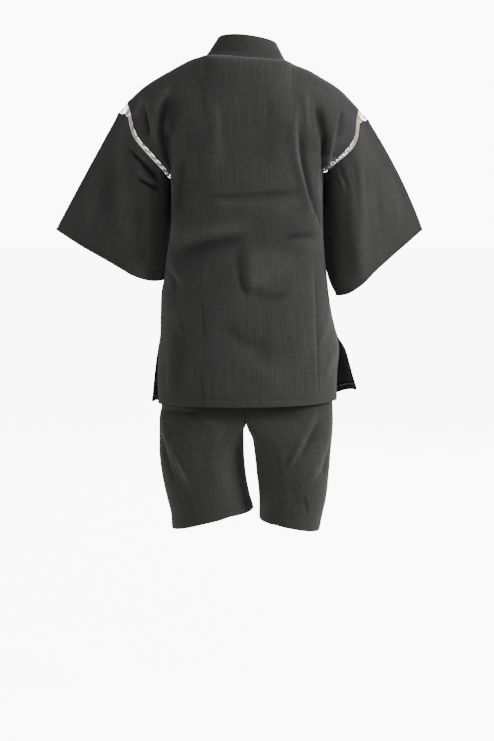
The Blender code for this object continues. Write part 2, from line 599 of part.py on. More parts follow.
def make_lace(hand, face, name, body, body_beside, arm, arm_beside):
    """Half of the ladder of lace between armhole and sleeve: the top to the underarm, back or front."""
    stops = []
    for step in range(ARM_STEPS):
        stops += [(step, True), (step + RUNG_SHARE, False)]
    stops += [(ARM_STEPS - RUNG_SHARE / 2, True), (ARM_STEPS, True)]
    ends = []
    for at, _ in stops:
        i = min(int(at), ARM_STEPS - 1)
        ends.append((seam_spot(body, body_beside, i, at - i), seam_spot(arm, arm_beside, i, at - i)))
    outer, inner = [], []
    for k, ((b, b_off), (a, a_off)) in enumerate(ends):
        along = ends[min(len(ends) - 1, k + 1)][0][0] - ends[max(0, k - 1)][0][0]
        if k in (0, len(ends) - 1):
            along = np.array((0.0, face * (1.0 if k == 0 else -1.0), 0.0))
        out = unit(np.cross(unit(a - b), unit(along))) * hand * face
        b = b + b_off * (LACE_SEAM + LACE / 2 * abs(np.dot(out, b_off)))
        a = a + a_off * (LACE_SEAM + LACE / 2 * abs(np.dot(out, a_off)))
        span = np.linalg.norm(a - b)
        line = [b + (a - b) * share for share in (0.0, RAIL / span, 1 - RAIL / span, 1.0)]
        if k in (0, len(ends) - 1):
            for spot in line:
                spot[1] = face * SEAM / 2
        outer.append([spot + out * LACE / 2 for spot in line])
        inner.append([spot - out * LACE / 2 for spot in line])
    kept = [[True, rung, True] for _, rung in stops[:-1]]
    shell(name, outer, inner, cream[name], kept)


# ---------------------------------------------------------------- shorts
SHORTS = Table(
    ("z", "out_left", "out_right", "in_left", "in_right", "back", "front"),
    [(-1.040, 0.1660, 0.1595, -0.0155, -0.0270, 0.0980, 0.0930),
     (-1.000, 0.1690, 0.1680, -0.0152, -0.0272, 0.0985, 0.0940),
     (-0.960, 0.1785, 0.1765, -0.0060, -0.0262, 0.1000, 0.0950),
     (-0.916, 0.1880, 0.1812, 0.0022, -0.0215, 0.1025, 0.0965),
     (-0.865, 0.1938, 0.1850, 0.0064, -0.0160, 0.1060, 0.0985),
     (-0.832, 0.1945, 0.1880, 0.0070, -0.0110, 0.1085, 0.1000),
     (-0.810, 0.1930, 0.1895, 0.0060, -0.0030, 0.1110, 0.1020),
     (-0.795, 0.1915, 0.1900, 0.0000, -0.0000, 0.1130, 0.1035),
     (-0.740, 0.1865, 0.1875, 0.0000, -0.0000, 0.1165, 0.1060),
     (-0.680, 0.1850, 0.1840, 0.0000, -0.0000, 0.1165, 0.1060),
     (-0.604, 0.1870, 0.1780, 0.0000, -0.0000, 0.1120, 0.1030),
     (-0.520, 0.1700, 0.1630, 0.0000, -0.0000, 0.1050, 0.0980),
     (-0.440, 0.1480, 0.1480, 0.0000, -0.0000, 0.0980, 0.0920)])
LEG_OUTER = 14           # fields from the centre back round the hip to the centre front
LEG_INNER = 8            # fields across the inside of the thigh
LEG_ROWS = (0.0, 0.08, 0.20, 0.34, 0.48, 0.62, 0.76, 0.89, 1.0)
HIP_ROWS = (CROTCH_Z, -0.700, -0.650, -0.600, -0.550, -0.500, -0.465, WAIST_Z)
LEG_HEM = {1: (-0.0151, -0.9900, 0.1667, -1.0330), -1: (-0.0271, -1.0114, 0.1596, -1.0354)}
LEG_SPREAD = math.radians(112)
HIP_SQUARE, HIP_ROUND = 0.80, 0.90        # powers that give the hips their flat oval
LEG_SQUARE = 0.85
INNER_SHARE = 0.12       # share of the hem that its inner side takes in the slope of its edge
LEG_ROUND_SHARE = 0.55   # the leg is round from this share of its length
THIGH_BOW = 0.7
LEG_FOLDS = {
    1: [(0.184, -0.810, 0.125, -0.965, 0.016, 0.0055),
        (0.060, -0.800, 0.110, -0.930, 0.020, -0.0045)],
    -1: [(-0.165, -0.780, -0.122, -0.850, 0.014, 0.0055),
         (-0.172, -0.870, -0.142, -0.960, 0.014, 0.0050),
         (-0.070, -0.810, -0.100, -0.980, 0.018, -0.0040)]}


def power(value, p):
    return math.copysign(abs(value) ** p, value)


def leg_point(hand, column, level):
    """A leg: columns go from the centre back round the outside to the centre front, then back inside.

    level is a height above the crotch, or 1 plus the share of the way down below it (2 at the hem).
    """
    side = {1: "left", -1: "right"}[hand]
    ring = LEG_OUTER + LEG_INNER
    column = column % ring
    outside = column <= LEG_OUTER
    if level <= 0:
        z, share = level, 0.0
    else:
        share = level - 1
        drop = 0.0 if outside else math.sin(math.pi * (column - LEG_OUTER) / LEG_INNER) ** THIGH_BOW
        top = CROTCH_Z - CROTCH_DROP * drop
        in_x, in_z, out_x, out_z = LEG_HEM[hand]
        if outside:
            across = abs(math.cos(math.pi * (column / LEG_OUTER - 0.5)))
            place = INNER_SHARE + (1 - INNER_SHARE) * across
        else:
            place = INNER_SHARE * (1 - math.sin(math.pi * (column - LEG_OUTER) / LEG_INNER))
        bottom = in_z + (out_z - in_z) * place
        z = top + (bottom - top) * share
    out_half = SHORTS.at("out_" + side, z)
    in_half = hand * SHORTS.at("in_" + side, z)
    back, front = SHORTS.at("back", z), SHORTS.at("front", z)
    if outside:
        turn = math.pi * (0.5 - column / LEG_OUTER)
        x = in_half + (out_half - in_half) * power(math.cos(turn), HIP_SQUARE)
        y = power(math.sin(turn), HIP_ROUND)
        angle = LEG_SPREAD * (1 - 2 * column / LEG_OUTER)
    else:
        inner = (column - LEG_OUTER) / LEG_INNER
        x = in_half
        y = -math.cos(math.pi * inner) if level > 0 else -1 + 2 * inner
        angle = -LEG_SPREAD - (2 * math.pi - 2 * LEG_SPREAD) * inner
    y *= back if y > 0 else front
    round_x = (in_half + out_half) / 2 + (out_half - in_half) / 2 * power(math.cos(angle), LEG_SQUARE)
    round_y = power(math.sin(angle), LEG_SQUARE)
    round_y *= back if round_y > 0 else front
    mix = smooth(share / LEG_ROUND_SHARE)
    x, y = x + (round_x - x) * mix, y + (round_y - y) * mix
    return np.array((hand * (x + SEAM / 2 * (1 - mix)), y, z))


def leg_pair(hand, column, level):
    ring = LEG_OUTER + LEG_INNER
    spot = leg_point(hand, column, level)
    if level <= 0:
        lo, hi = max(CROTCH_Z + 0.0001, level - 0.004), min(WAIST_Z, level + 0.004)
        column_here = min(LEG_OUTER - 0.3, max(0.3, column))
    else:
        lo, hi = min(2.0, level + 0.02), max(1.0, level - 0.02)
        column_here = column
    round_about = leg_point(hand, column_here + 0.3, level) - leg_point(hand, column_here - 0.3, level)
    up = leg_point(hand, column_here, hi) - leg_point(hand, column_here, lo)
    out = unit(np.cross(up, round_about)) * hand
    centre = column == 0 or column == LEG_OUTER
    if centre and level <= 0:
        out = np.array((0.0, 1.0 if column == 0 else -1.0, 0.0))
    if centre and level == 1.0:
        out = unit(np.array((-hand * 0.25, 1.0 if column == 0 else -1.0, 0.0)))
    fade = 0.0 if column > LEG_OUTER else smooth(min(column, LEG_OUTER - column) / 1.5)
    height = relief(LEG_FOLDS[hand], spot[0], spot[2]) * fade
    spot = spot + out * height * (1.0 if spot[1] > 0 else FRONT_SHARE)
    return spot, spot - out * CLOTH


def make_leg(hand, name):
    ring = LEG_OUTER + LEG_INNER
    pairs, kept = [], []
    for share in reversed(LEG_ROWS):
        pairs.append([leg_pair(hand, column, 1 + share) for column in range(ring)])
    for height in HIP_ROWS[1:]:
        pairs.append([leg_pair(hand, min(column, LEG_OUTER), height) for column in range(ring)])
    for row in range(len(pairs) - 1):
        whole = row < len(LEG_ROWS) - 1
        kept.append([True] * LEG_OUTER + [whole] * LEG_INNER)
    shell(name, [[p[0] for p in line] for line in pairs], [[p[1] for p in line] for line in pairs],
          charcoal[name], kept, closed=True)


def make_waistband():
    count = GATHERS * 4
    half, back, front = (SHORTS.at(name, WAIST_Z) for name in ("out_left", "back", "front"))
    outer, inner = [], []
    for height in (SEAM, WAIST_EDGE, WAISTBAND_HEIGHT - WAIST_EDGE, WAISTBAND_HEIGHT):
        pull = 1 - WAIST_PULL * math.sin(math.pi * height / WAISTBAND_HEIGHT)
        lines = ([], [])
        for k in range(count):
            angle = 2 * math.pi * k / count
            x = half * power(math.cos(angle), HIP_SQUARE) * pull
            y = power(math.sin(angle), HIP_ROUND) * pull
            y *= back if y > 0 else front
            out = unit(np.array((math.cos(angle) / half, math.sin(angle) / back, 0.0)))
            ripple = GATHER_DEPTH * math.sin(GATHERS * angle)
            spot = np.array((x, y, WAIST_Z + height)) + out * ripple
            lines[0].append(spot)
            lines[1].append(spot - out * WAISTBAND_WALL)
        outer.append(lines[0])
        inner.append(lines[1])
    shell("shorts_waistband", outer, inner, charcoal["shorts_waistband"], closed=True)


# ---------------------------------------------------------------- ties
def ribbon(name, path, sides, outs, widths, closed=False):
    """A flat tie along a path; sides points across it and outs away from the cloth beneath."""
    outer, inner = [], []
    for spot, side, out, width in zip(path, sides, outs, widths):
        across = side * width / 2
        deep = out * TIE_WALL / 2
        outer.append([spot - across + deep, spot + across + deep])
        inner.append([spot - across - deep, spot + across - deep])
    if closed:
        outer = [list(line) for line in zip(*outer)]
        inner = [list(line) for line in zip(*inner)]
    return shell(name, outer, inner, charcoal[name], closed=closed)


def front_row(f, z):
    """Row of the front at a height."""
    low, high = 0.0, float(BODY_TOP)
    for _ in range(30):
        row = (low + high) / 2
        if body_point(-1, f, row)[2] < z:
            low = row
        else:
            high = row
    return (low + high) / 2


def front_spot(x, z):
    """Point and outward direction of the front's form at a place on the right."""
    f = BOW_F
    for _ in range(6):
        row = front_row(f, z)
        f = max(-1.0, f * x / body_point(-1, f, row)[0])
    return body_point(-1, f, row), body_normal(-1, f, row, BODY_TOP)


def make_ties():
    row = front_row(BOW_F, BOW_LEVEL)
    middle, out = body_point(-1, BOW_F, row), body_normal(-1, BOW_F, row, BODY_TOP)
    right = unit(np.cross(out, np.array((0.0, 0.0, 1.0))))
    if right[0] > 0:
        right = -right
    up = unit(np.cross(right, out))
    if up[2] < 0:
        up = -up
    centre = middle + out * BOW_OUT
    # knot
    size = np.array(KNOT) / 2
    levels = ((-1.0, KNOT_TAPER), (-KNOT_BELLY, 1.0), (KNOT_BELLY, 1.0), (1.0, KNOT_TAPER))
    corners = ((-1, -0.5), (-1, 0.5), (-0.5, 1), (0.5, 1), (1, 0.5), (1, -0.5), (0.5, -1), (-0.5, -1))
    vertices, faces = [], []
    for height, scale in levels:
        for a, b in corners:
            across = right * a * size[0] * scale + up * b * size[2] * scale
            vertices.append(centre + across + out * height * size[1])
    for level in range(len(levels) - 1):
        for k in range(8):
            a, b = level * 8 + k, level * 8 + (k + 1) % 8
            faces.append([a, b, b + 8, a + 8])
    faces += [[7 - k for k in range(8)], [len(vertices) - 8 + k for k in range(8)]]
    finish("bow_knot", vertices, faces, charcoal["bow_knot"])
    # loops
    for name, turn, lift in LOOP_SIDES:
        way = unit(right * turn + up * lift)
        across = unit(np.cross(out, way))
        path, sides, outs, widths = [], [], [], []
        for k in range(LOOP_POINTS):
            angle = 2 * math.pi * k / LOOP_POINTS
            reach = (1 - math.cos(angle)) / 2
            start = size[0] * KNOT_CLEAR + SEAM + TIE_WALL / 2
            path.append(centre + way * (start + LOOP_LENGTH * reach)
                        + out * LOOP_RISE * math.sin(angle) * (0.55 + 0.45 * reach))
            sides.append(across)
            rise = -way * math.cos(angle) * LOOP_RISE * 2.2
            outs.append(unit(rise + out * math.sin(angle) * LOOP_LENGTH * 0.5))
            widths.append(TIE_WIDTH * (LOOP_START + LOOP_SPREAD * smooth(reach * 1.6)))
        ribbon(name, path, sides, outs, widths, closed=True)
    # tails
    for name, lean, turn, beside in TAILS:
        path, tops, sides, outs, widths = [], [], [], [], []
        for k in range(TAIL_POINTS):
            t = k / (TAIL_POINTS - 1)
            length = TAIL_LENGTH * turn * t
            spot = middle - up * (size[2] + 2 * SEAM + length) + right * (beside + lean * length)
            clear = TAIL_CLEAR + TIE_WALL / 2 + TAIL_RISE * (1 - smooth(t / 0.5))
            ground, away = front_spot(spot[0], spot[2])
            path.append(ground + away * clear)
            tops.append(away)
            widths.append(TIE_WIDTH * (TAIL_START + (1 - TAIL_START) * smooth(t / 0.5)))
        for k in range(TAIL_POINTS):
            along = unit(path[min(TAIL_POINTS - 1, k + 1)] - path[max(0, k - 1)])
            side = unit(np.cross(along, tops[k]))
            sides.append(side)
            outs.append(unit(np.cross(side, along)))
        ribbon(name, path, sides, outs, widths)
    # straps: from the end of the collar and from the side seam, both to the underside of the knot
    under = centre - out * (size[1] + SEAM + TIE_WALL / 2)
    start = body_point(-1, FRONT_EDGE.at("free", BOW_LEVEL), row)
    start = start + np.array((-STRAP_SET, STRAP_SINK - LAP_LIFT, 0.0))
    end = under - right * SEAM
    strap("tie_from_collar", [start + (end - start) * t for t in (0.0, 0.5, 1.0)], up)
    path = []
    for t in (0.0, 0.25, 0.5, 0.75):
        f = SIDE_TIE_F + (BOW_F - SIDE_TIE_F) * t
        spot, away = body_point(-1, f, row), body_normal(-1, f, row, BODY_TOP)
        rise = np.dot(under - middle, out) - TIE_CLEAR - TIE_WALL / 2
        path.append(spot + away * (TIE_CLEAR + TIE_WALL / 2 + rise * t * t))
    path.append(under + right * SEAM)
    strap("tie_from_side", path, up)


def strap(name, path, up):
    outs = []
    for k in range(len(path)):
        along = unit(path[min(len(path) - 1, k + 1)] - path[max(0, k - 1)])
        out = unit(np.cross(along, up))
        outs.append(out if out[1] < 0 else -out)
    ribbon(name, path, [up] * len(path), outs, [TIE_WIDTH] * (len(path) - 1) + [TIE_WIDTH * 0.7])


# ---------------------------------------------------------------- build
for thing in list(bpy.data.objects):
    bpy.data.objects.remove(thing, do_unlink=True)
garment = bpy.data.collections.new("jinbei_set")
bpy.context.scene.collection.children.link(garment)

CHARCOAL_PIECES = ("jacket_back", "jacket_front_left", "jacket_front_right", "collar", "sleeve_left",
                   "sleeve_right", "shorts_leg_left", "shorts_leg_right", "shorts_waistband",
                   "tie_from_collar", "tie_from_side", "bow_knot", "bow_loop_outer", "bow_loop_inner",
                   "bow_tail_outer", "bow_tail_inner")
LACE_PIECES = ("lace_left_back", "lace_left_front", "lace_right_back", "lace_right_front")
charcoal = {name: cloth_material("crepe_" + name, (0.040, 0.040, 0.038), 0.9) for name in CHARCOAL_PIECES}
cream = {name: cloth_material("cord_" + name, (0.72, 0.69, 0.58), 0.8) for name in LACE_PIECES}

back_fs, back_pairs = make_back()
fronts = {1: make_front(1, "jacket_front_left"), -1: make_front(-1, "jacket_front_right")}
make_collar(back_fs, back_pairs, fronts)
top_down = range(BODY_TOP, BODY_TOP - ARM_STEPS - 1, -1)
for hand, word in ((1, "left"), (-1, "right")):
    rings = make_sleeve(hand, "sleeve_" + word)
    edge, next_to_edge = (-1, -2) if hand == 1 else (0, 1)
    for face, half, lines, columns in ((1, "_back", back_pairs, (edge, next_to_edge)),
                                       (-1, "_front", fronts[hand], (0, 1))):
        body, body_beside = ([lines[row][column] for row in top_down] for column in columns)
        steps = [face * step for step in range(ARM_STEPS + 1)]
        arm, arm_beside = ([ring[step] for step in steps] for ring in rings)
        make_lace(hand, face, "lace_" + word + half, body, body_beside, arm, arm_beside)
    make_leg(hand, "shorts_leg_" + word)
make_waistband()
make_ties()
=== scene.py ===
"""Jinbei set, dressed: crepe shells, lace, hems, ties and bow of a wrap jacket and shorts in their worn form.

+Z is up, the front of the garment faces -Y, +X is the wearer's left.  Metres.
"""
import json
import math

import bmesh
import bpy
import numpy as np
from mathutils import Matrix, Vector, noise

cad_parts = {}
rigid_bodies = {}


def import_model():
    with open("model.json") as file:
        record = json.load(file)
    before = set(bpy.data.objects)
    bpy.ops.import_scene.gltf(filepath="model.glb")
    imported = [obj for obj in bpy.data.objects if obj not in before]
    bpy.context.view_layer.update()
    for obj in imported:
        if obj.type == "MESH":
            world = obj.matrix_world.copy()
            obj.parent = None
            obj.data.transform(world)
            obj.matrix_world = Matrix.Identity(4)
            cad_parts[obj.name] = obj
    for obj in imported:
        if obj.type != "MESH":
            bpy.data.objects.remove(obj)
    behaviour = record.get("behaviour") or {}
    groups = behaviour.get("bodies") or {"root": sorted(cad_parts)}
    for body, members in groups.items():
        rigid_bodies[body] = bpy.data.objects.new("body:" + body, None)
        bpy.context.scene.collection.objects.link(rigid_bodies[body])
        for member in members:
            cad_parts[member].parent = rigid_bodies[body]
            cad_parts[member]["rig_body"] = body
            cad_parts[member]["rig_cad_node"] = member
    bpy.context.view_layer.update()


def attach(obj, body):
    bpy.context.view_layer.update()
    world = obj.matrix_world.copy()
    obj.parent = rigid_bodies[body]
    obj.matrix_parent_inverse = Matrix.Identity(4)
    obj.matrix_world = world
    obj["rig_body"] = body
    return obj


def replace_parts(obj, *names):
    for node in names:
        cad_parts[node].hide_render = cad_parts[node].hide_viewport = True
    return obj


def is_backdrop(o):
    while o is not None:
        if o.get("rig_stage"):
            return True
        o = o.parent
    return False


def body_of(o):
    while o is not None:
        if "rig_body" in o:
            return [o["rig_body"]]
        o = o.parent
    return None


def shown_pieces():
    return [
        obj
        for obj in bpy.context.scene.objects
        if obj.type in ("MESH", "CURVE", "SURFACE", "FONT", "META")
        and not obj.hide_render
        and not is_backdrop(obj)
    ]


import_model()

# ---------------------------------------------------------------- sizes of the cut
CLOTH = 0.0017           # single crepe
HEM_WALL = 0.0026        # crepe turned up twice
BAND = 0.0030            # doubled cloth of the collar
BAND_PROUD = 0.0005
SEAM = 0.0003            # gap between the pieces along a seam
LEFT, RIGHT = 1, -1      # the wearer's
HANDS = ((LEFT, "left"), (RIGHT, "right"))

# collar: its band leaves the seam inwards, then turns up along a slant
COLLAR_WIDTH = 0.0520
COLLAR_TURN = 0.0080
COLLAR_BEND = 1.6
COLLAR_RISE_ROWS = 6
NAPE_SLANT = {LEFT: -0.60, RIGHT: -0.36}
NAPE_FALL = {LEFT: -0.10, RIGHT: -0.50}
NAPE_RISE = (-0.10, 0.88)
FRONT_SLANT = (-0.62, -0.30, 0.72)
NECK_F = 0.39
NECK_DEPTH = 0.050
NAPE_BOW = 2.2

# the left front laps over the right one
LAP_LIFT = 0.0065
LAP_TOP, LAP_TOP_FADE = -0.115, 0.055
LAP_SIDE, LAP_SIDE_FADE = 0.158, 0.040

# stitch lines above the edges
BODY_HEM = 0.0150
CUFF_HEM = 0.0070
LEG_HEM_DEEP = 0.0180
SLIT_HEM = 0.0060

# shorts
WAIST_Z = -0.440
WAISTBAND_HEIGHT = 0.034
WAISTBAND_WALL = 0.0026
WAIST_PULL = 0.020
GATHERS = 30
GATHER_DEPTH = 0.0016
CROTCH_Z = -0.740
CROTCH_DROP = 0.0550

# ties and bow
TIE_WIDTH = 0.015
TIE_WALL = 0.0016
TIE_CLEAR = 0.0012
TAIL_CLEAR = 0.0020
TAIL_RISE = 0.0100
BOW_OUT = 0.0150
BOW_F = -0.74
BOW_LEVEL = -0.452
SIDE_TIE_F = -0.965
STRAP_SET = 0.0010
STRAP_SINK = 0.0010
LOOP_LENGTH = 0.050
LOOP_RISE = 0.0045
TAIL_LENGTH = 0.095
KNOT = (0.0170, 0.0130, 0.0170)
KNOT_CLEAR = 1.10

# stitches: length, way from one to the next, thickness
STITCH = 0.0030
STITCH_PITCH = 0.0042
THREAD = 0.00045
STITCH_PLUMP, STITCH_PROUD = 1.6, 0.3

# roundness of the body's sections, from the hem up to the shoulder
SHOULDER_ROUND = 2.4
SECTION_POWER = 2.5
SECTION_ROOT = 2.0
BOXY_ROOT = 3.6
BOXY_FROM = 0.45
UPPER_POWER = 3.0
UPPER_ROOT = 0.87
CORNER_SHARE = 0.19
CORNER_EASE = 0.6

# rows of the body: shares of the way from the hem to the underarm, then the steps of the armhole
LOWER_ROWS = (0.0, 0.075, 0.15, 0.225, 0.30, 0.39, 0.48, 0.57, 0.66, 0.74, 0.82, 0.91, 1.0)
LOW_TOP = len(LOWER_ROWS) - 1
SLIT_ROW = 4
COLLAR_END_ROW = 8
UNDERARM_Z = {LEFT: -0.2620, RIGHT: -0.2500}
SHOULDER_END_Z = {LEFT: -0.1040, RIGHT: -0.1190}
BACK, FRONT = 1, -1
HEM = {BACK: (-0.7465, -0.7515, -0.7545), FRONT: (-0.7330, -0.7550, -0.7600)}     # right, middle, left
HEM_BOW = 2.2


def smooth(t):
    t = np.clip(t, 0.0, 1.0)
    return t * t * (3 - 2 * t)


def units(v):
    return v / np.maximum(np.linalg.norm(v, axis=-1, keepdims=True), 1e-12)


def power(value, p):
    return np.sign(value) * np.abs(value) ** p


def between(low, high, low_slope, high_slope, t, step):
    """A smooth curve from one knot to the next, at the share t of the step."""
    return (low * (1 + 2 * t) * (1 - t) ** 2 + step * low_slope * t * (1 - t) ** 2
            + high * t * t * (3 - 2 * t) + step * high_slope * t * t * (t - 1))


def path_lengths(points):
    return np.concatenate(([0.0], np.cumsum(np.linalg.norm(np.diff(points, axis=0), axis=1))))


def path_at(at, lengths, points):
    """Places along a path, read at their lengths."""
    return np.stack([np.interp(at, lengths, points[:, k]) for k in range(3)], axis=-1)


class Table:
    """A short table with named columns, read between its rows along a smooth curve."""

    def __init__(self, names, rows):
        self.names = names
        self.cells = np.array(sorted(rows), dtype=float)

    def at(self, name, key):
        xs, ys = self.cells[:, 0], self.cells[:, self.names.index(name)]
        key = np.clip(np.asarray(key, dtype=float), xs[0], xs[-1])
        steps = np.diff(xs)
        slopes = np.diff(ys) / steps
        ends = np.zeros(len(xs))
        ends[0], ends[-1] = slopes[0], slopes[-1]
        for k in range(1, len(xs) - 1):
            if slopes[k - 1] * slopes[k] > 0:
                w1, w2 = 2 * steps[k] + steps[k - 1], steps[k] + 2 * steps[k - 1]
                ends[k] = (w1 + w2) / (w1 / slopes[k - 1] + w2 / slopes[k])
        i = np.clip(np.searchsorted(xs, key, side="right") - 1, 0, len(steps) - 1)
        t, h = (key - xs[i]) / steps[i], steps[i]
        return between(ys[i], ys[i + 1], ends[i], ends[i + 1], t, h)


BODY = Table(
    ("z", "left", "right", "front_left", "front_right", "back", "front", "back_edge", "front_edge"),
    [(-0.758, 0.1940, 0.1965, 0.2113, 0.2450, 0.1340, 0.1300, 0.016, -0.036),
     (-0.730, 0.1950, 0.1965, 0.2085, 0.2430, 0.1335, 0.1300, 0.013, -0.034),
     (-0.700, 0.1960, 0.1970, 0.2050, 0.2345, 0.1330, 0.1290, 0.009, -0.026),
     (-0.670, 0.1950, 0.1995, 0.2010, 0.2260, 0.1315, 0.1280, 0.005, -0.018),
     (-0.640, 0.1930, 0.2020, 0.1960, 0.2165, 0.1300, 0.1270, 0.002, -0.009),
     (-0.606, 0.1905, 0.1970, 0.1905, 0.1970, 0.1280, 0.1255, 0.000, 0.000),
     (-0.560, 0.1895, 0.1860, 0.1895, 0.1860, 0.1260, 0.1230, 0.000, 0.000),
     (-0.520, 0.1880, 0.1795, 0.1880, 0.1795, 0.1230, 0.1210, 0.000, 0.000),
     (-0.480, 0.1810, 0.1750, 0.1810, 0.1750, 0.1200, 0.1180, 0.000, 0.000),
     (-0.420, 0.1720, 0.1685, 0.1720, 0.1685, 0.1170, 0.1150, 0.000, 0.000),
     (-0.360, 0.1640, 0.1650, 0.1640, 0.1650, 0.1180, 0.1140, 0.000, 0.000),
     (-0.300, 0.1640, 0.1645, 0.1640, 0.1645, 0.1220, 0.1150, 0.000, 0.000),
     (-0.250, 0.1660, 0.1660, 0.1660, 0.1660, 0.1250, 0.1170, 0.000, 0.000)])

# from the shoulder to the underarm: seam of the body, then edge of the sleeve
ARM_COLUMNS = ("step", "body_x", "body_y", "body_z", "sleeve_x", "sleeve_y", "sleeve_z")
ARM_LEFT = Table(ARM_COLUMNS, [
    (0, 0.2593, 0.0000, -0.1040, 0.2780, 0.0000, -0.1240),
    (1, 0.2555, 0.0120, -0.1125, 0.2665, 0.0130, -0.1320),
    (2, 0.2500, 0.0260, -0.1270, 0.2585, 0.0275, -0.1410),
    (3, 0.2465, 0.0420, -0.1440, 0.2545, 0.0435, -0.1550),
    (4, 0.2400, 0.0550, -0.1660, 0.2480, 0.0575, -0.1750),
    (5, 0.2290, 0.0620, -0.1855, 0.2365, 0.0650, -0.1940),
    (6, 0.2150, 0.0660, -0.2020, 0.2222, 0.0690, -0.2110),
    (7, 0.2010, 0.0650, -0.2175, 0.2080, 0.0680, -0.2265),
    (8, 0.1880, 0.0580, -0.2320, 0.1950, 0.0610, -0.2410),
    (9, 0.1765, 0.0460, -0.2450, 0.1845, 0.0485, -0.2540),
    (10, 0.1690, 0.0260, -0.2565, 0.1795, 0.0280, -0.2635),
    (11, 0.1660, 0.0000, -0.2620, 0.1780, 0.0000, -0.2665)])
ARM_RIGHT = Table(ARM_COLUMNS, [
    (0, 0.2426, 0.0000, -0.1190, 0.2620, 0.0000, -0.1387),
    (1, 0.2395, 0.0100, -0.1265, 0.2525, 0.0120, -0.1465),
    (2, 0.2365, 0.0230, -0.1390, 0.2455, 0.0250, -0.1540),
    (3, 0.2345, 0.0380, -0.1530, 0.2428, 0.0400, -0.1655),
    (4, 0.2320, 0.0510, -0.1700, 0.2400, 0.0530, -0.1805),
    (5, 0.2255, 0.0600, -0.1890, 0.2332, 0.0630, -0.1980),
    (6, 0.2145, 0.0650, -0.2045, 0.2218, 0.0680, -0.2135),
    (7, 0.2010, 0.0650, -0.2165, 0.2080, 0.0680, -0.2257),
    (8, 0.1880, 0.0590, -0.2275, 0.1950, 0.0620, -0.2368),
    (9, 0.1770, 0.0470, -0.2375, 0.1850, 0.0495, -0.2468),
    (10, 0.1690, 0.0270, -0.2460, 0.1795, 0.0290, -0.2532),
    (11, 0.1660, 0.0000, -0.2500, 0.1780, 0.0000, -0.2545)])
ARMS = {LEFT: ARM_LEFT, RIGHT: ARM_RIGHT}
ARM_STEPS = len(ARM_LEFT.cells) - 1
BODY_TOP = LOW_TOP + ARM_STEPS

SHOULDER = Table(
    ("f", "z"),
    [(-1.00, -0.1190), (-0.94, -0.1035), (-0.83, -0.0768), (-0.65, -0.0492), (-0.55, -0.0355),
     (-0.43, -0.0240), (-0.36, -0.0172), (0.00, -0.0120), (0.32, -0.0055), (0.39, -0.0072),
     (0.46, -0.0125), (0.61, -0.0325), (0.85, -0.0696), (1.00, -0.1040)])

FRONT_EDGE = Table(
    ("level", "seam", "free"),
    [(-0.7545, -0.30, -0.60), (-0.5000, -0.27, -0.56), (-0.4300, -0.265, -0.555), (-0.3850, -0.155, -0.45),
     (-0.3400, -0.035, -0.34), (-0.3000, 0.070, -0.24), (-0.2620, 0.170, -0.14), (-0.2300, 0.220, -0.06),
     (-0.1990, 0.285, 0.035), (-0.1670, 0.335, 0.105), (-0.1435, 0.370, 0.155), (-0.1200, 0.388, 0.185),
     (-0.1040, 0.390, 0.195)])

CUFF_COLUMNS = ("part", "x", "back", "front", "z")
CUFFS = {
    LEFT: Table(CUFF_COLUMNS, [
        (0.00, 0.4215, -0.0200, -0.0200, -0.3762), (0.25, 0.3620, 0.0010, -0.0400, -0.4135),
        (0.45, 0.3130, 0.0160, -0.0500, -0.4400), (0.62, 0.2740, 0.0390, -0.0600, -0.4610),
        (0.75, 0.2430, 0.0560, -0.0620, -0.4775), (0.85, 0.2200, 0.0560, -0.0590, -0.4850),
        (0.94, 0.1975, 0.0370, -0.0450, -0.4885), (1.00, 0.1868, 0.0000, 0.0000, -0.4875)]),
    RIGHT: Table(CUFF_COLUMNS, [
        (0.00, 0.3871, -0.0200, -0.0200, -0.3760), (0.20, 0.3480, -0.0010, -0.0360, -0.4090),
        (0.40, 0.3100, 0.0150, -0.0490, -0.4400), (0.58, 0.2760, 0.0380, -0.0600, -0.4690),
        (0.72, 0.2500, 0.0560, -0.0620, -0.4940), (0.84, 0.2290, 0.0570, -0.0590, -0.5090),
        (0.93, 0.2100, 0.0400, -0.0450, -0.5185), (1.00, 0.1960, 0.0000, 0.0000, -0.5218)])}
# the edge of the sleeve is drawn a little over the lace
LACE_CLOSE, LACE_CLOSE_END = 0.20, 0.12
TOP_SWELL = {LEFT: 0.001, RIGHT: 0.009}
UNDER_EASE, TURN_EASE = 6, 9
# the fold under the arm: how far it is drawn in on each side, and how far it turns to the front
UNDER_LINE = Table(("t", "left", "right", "turn"), [
    (0.00, -0.0092, -0.0092, 0.000), (0.0147, -0.0126, -0.0123, -0.005), (0.035, -0.0135, -0.0131, -0.012),
    (0.07, -0.0143, -0.0140, -0.018), (0.10, -0.0147, -0.0150, -0.022), (0.25, -0.0160, -0.0182, -0.036),
    (0.38, -0.0172, -0.0197, -0.042), (0.52, -0.0162, -0.0210, -0.044), (0.70, -0.0124, -0.0200, -0.038),
    (0.87, -0.0080, -0.0135, -0.026), (1.00, -0.0048, 0.0000, -0.010)])

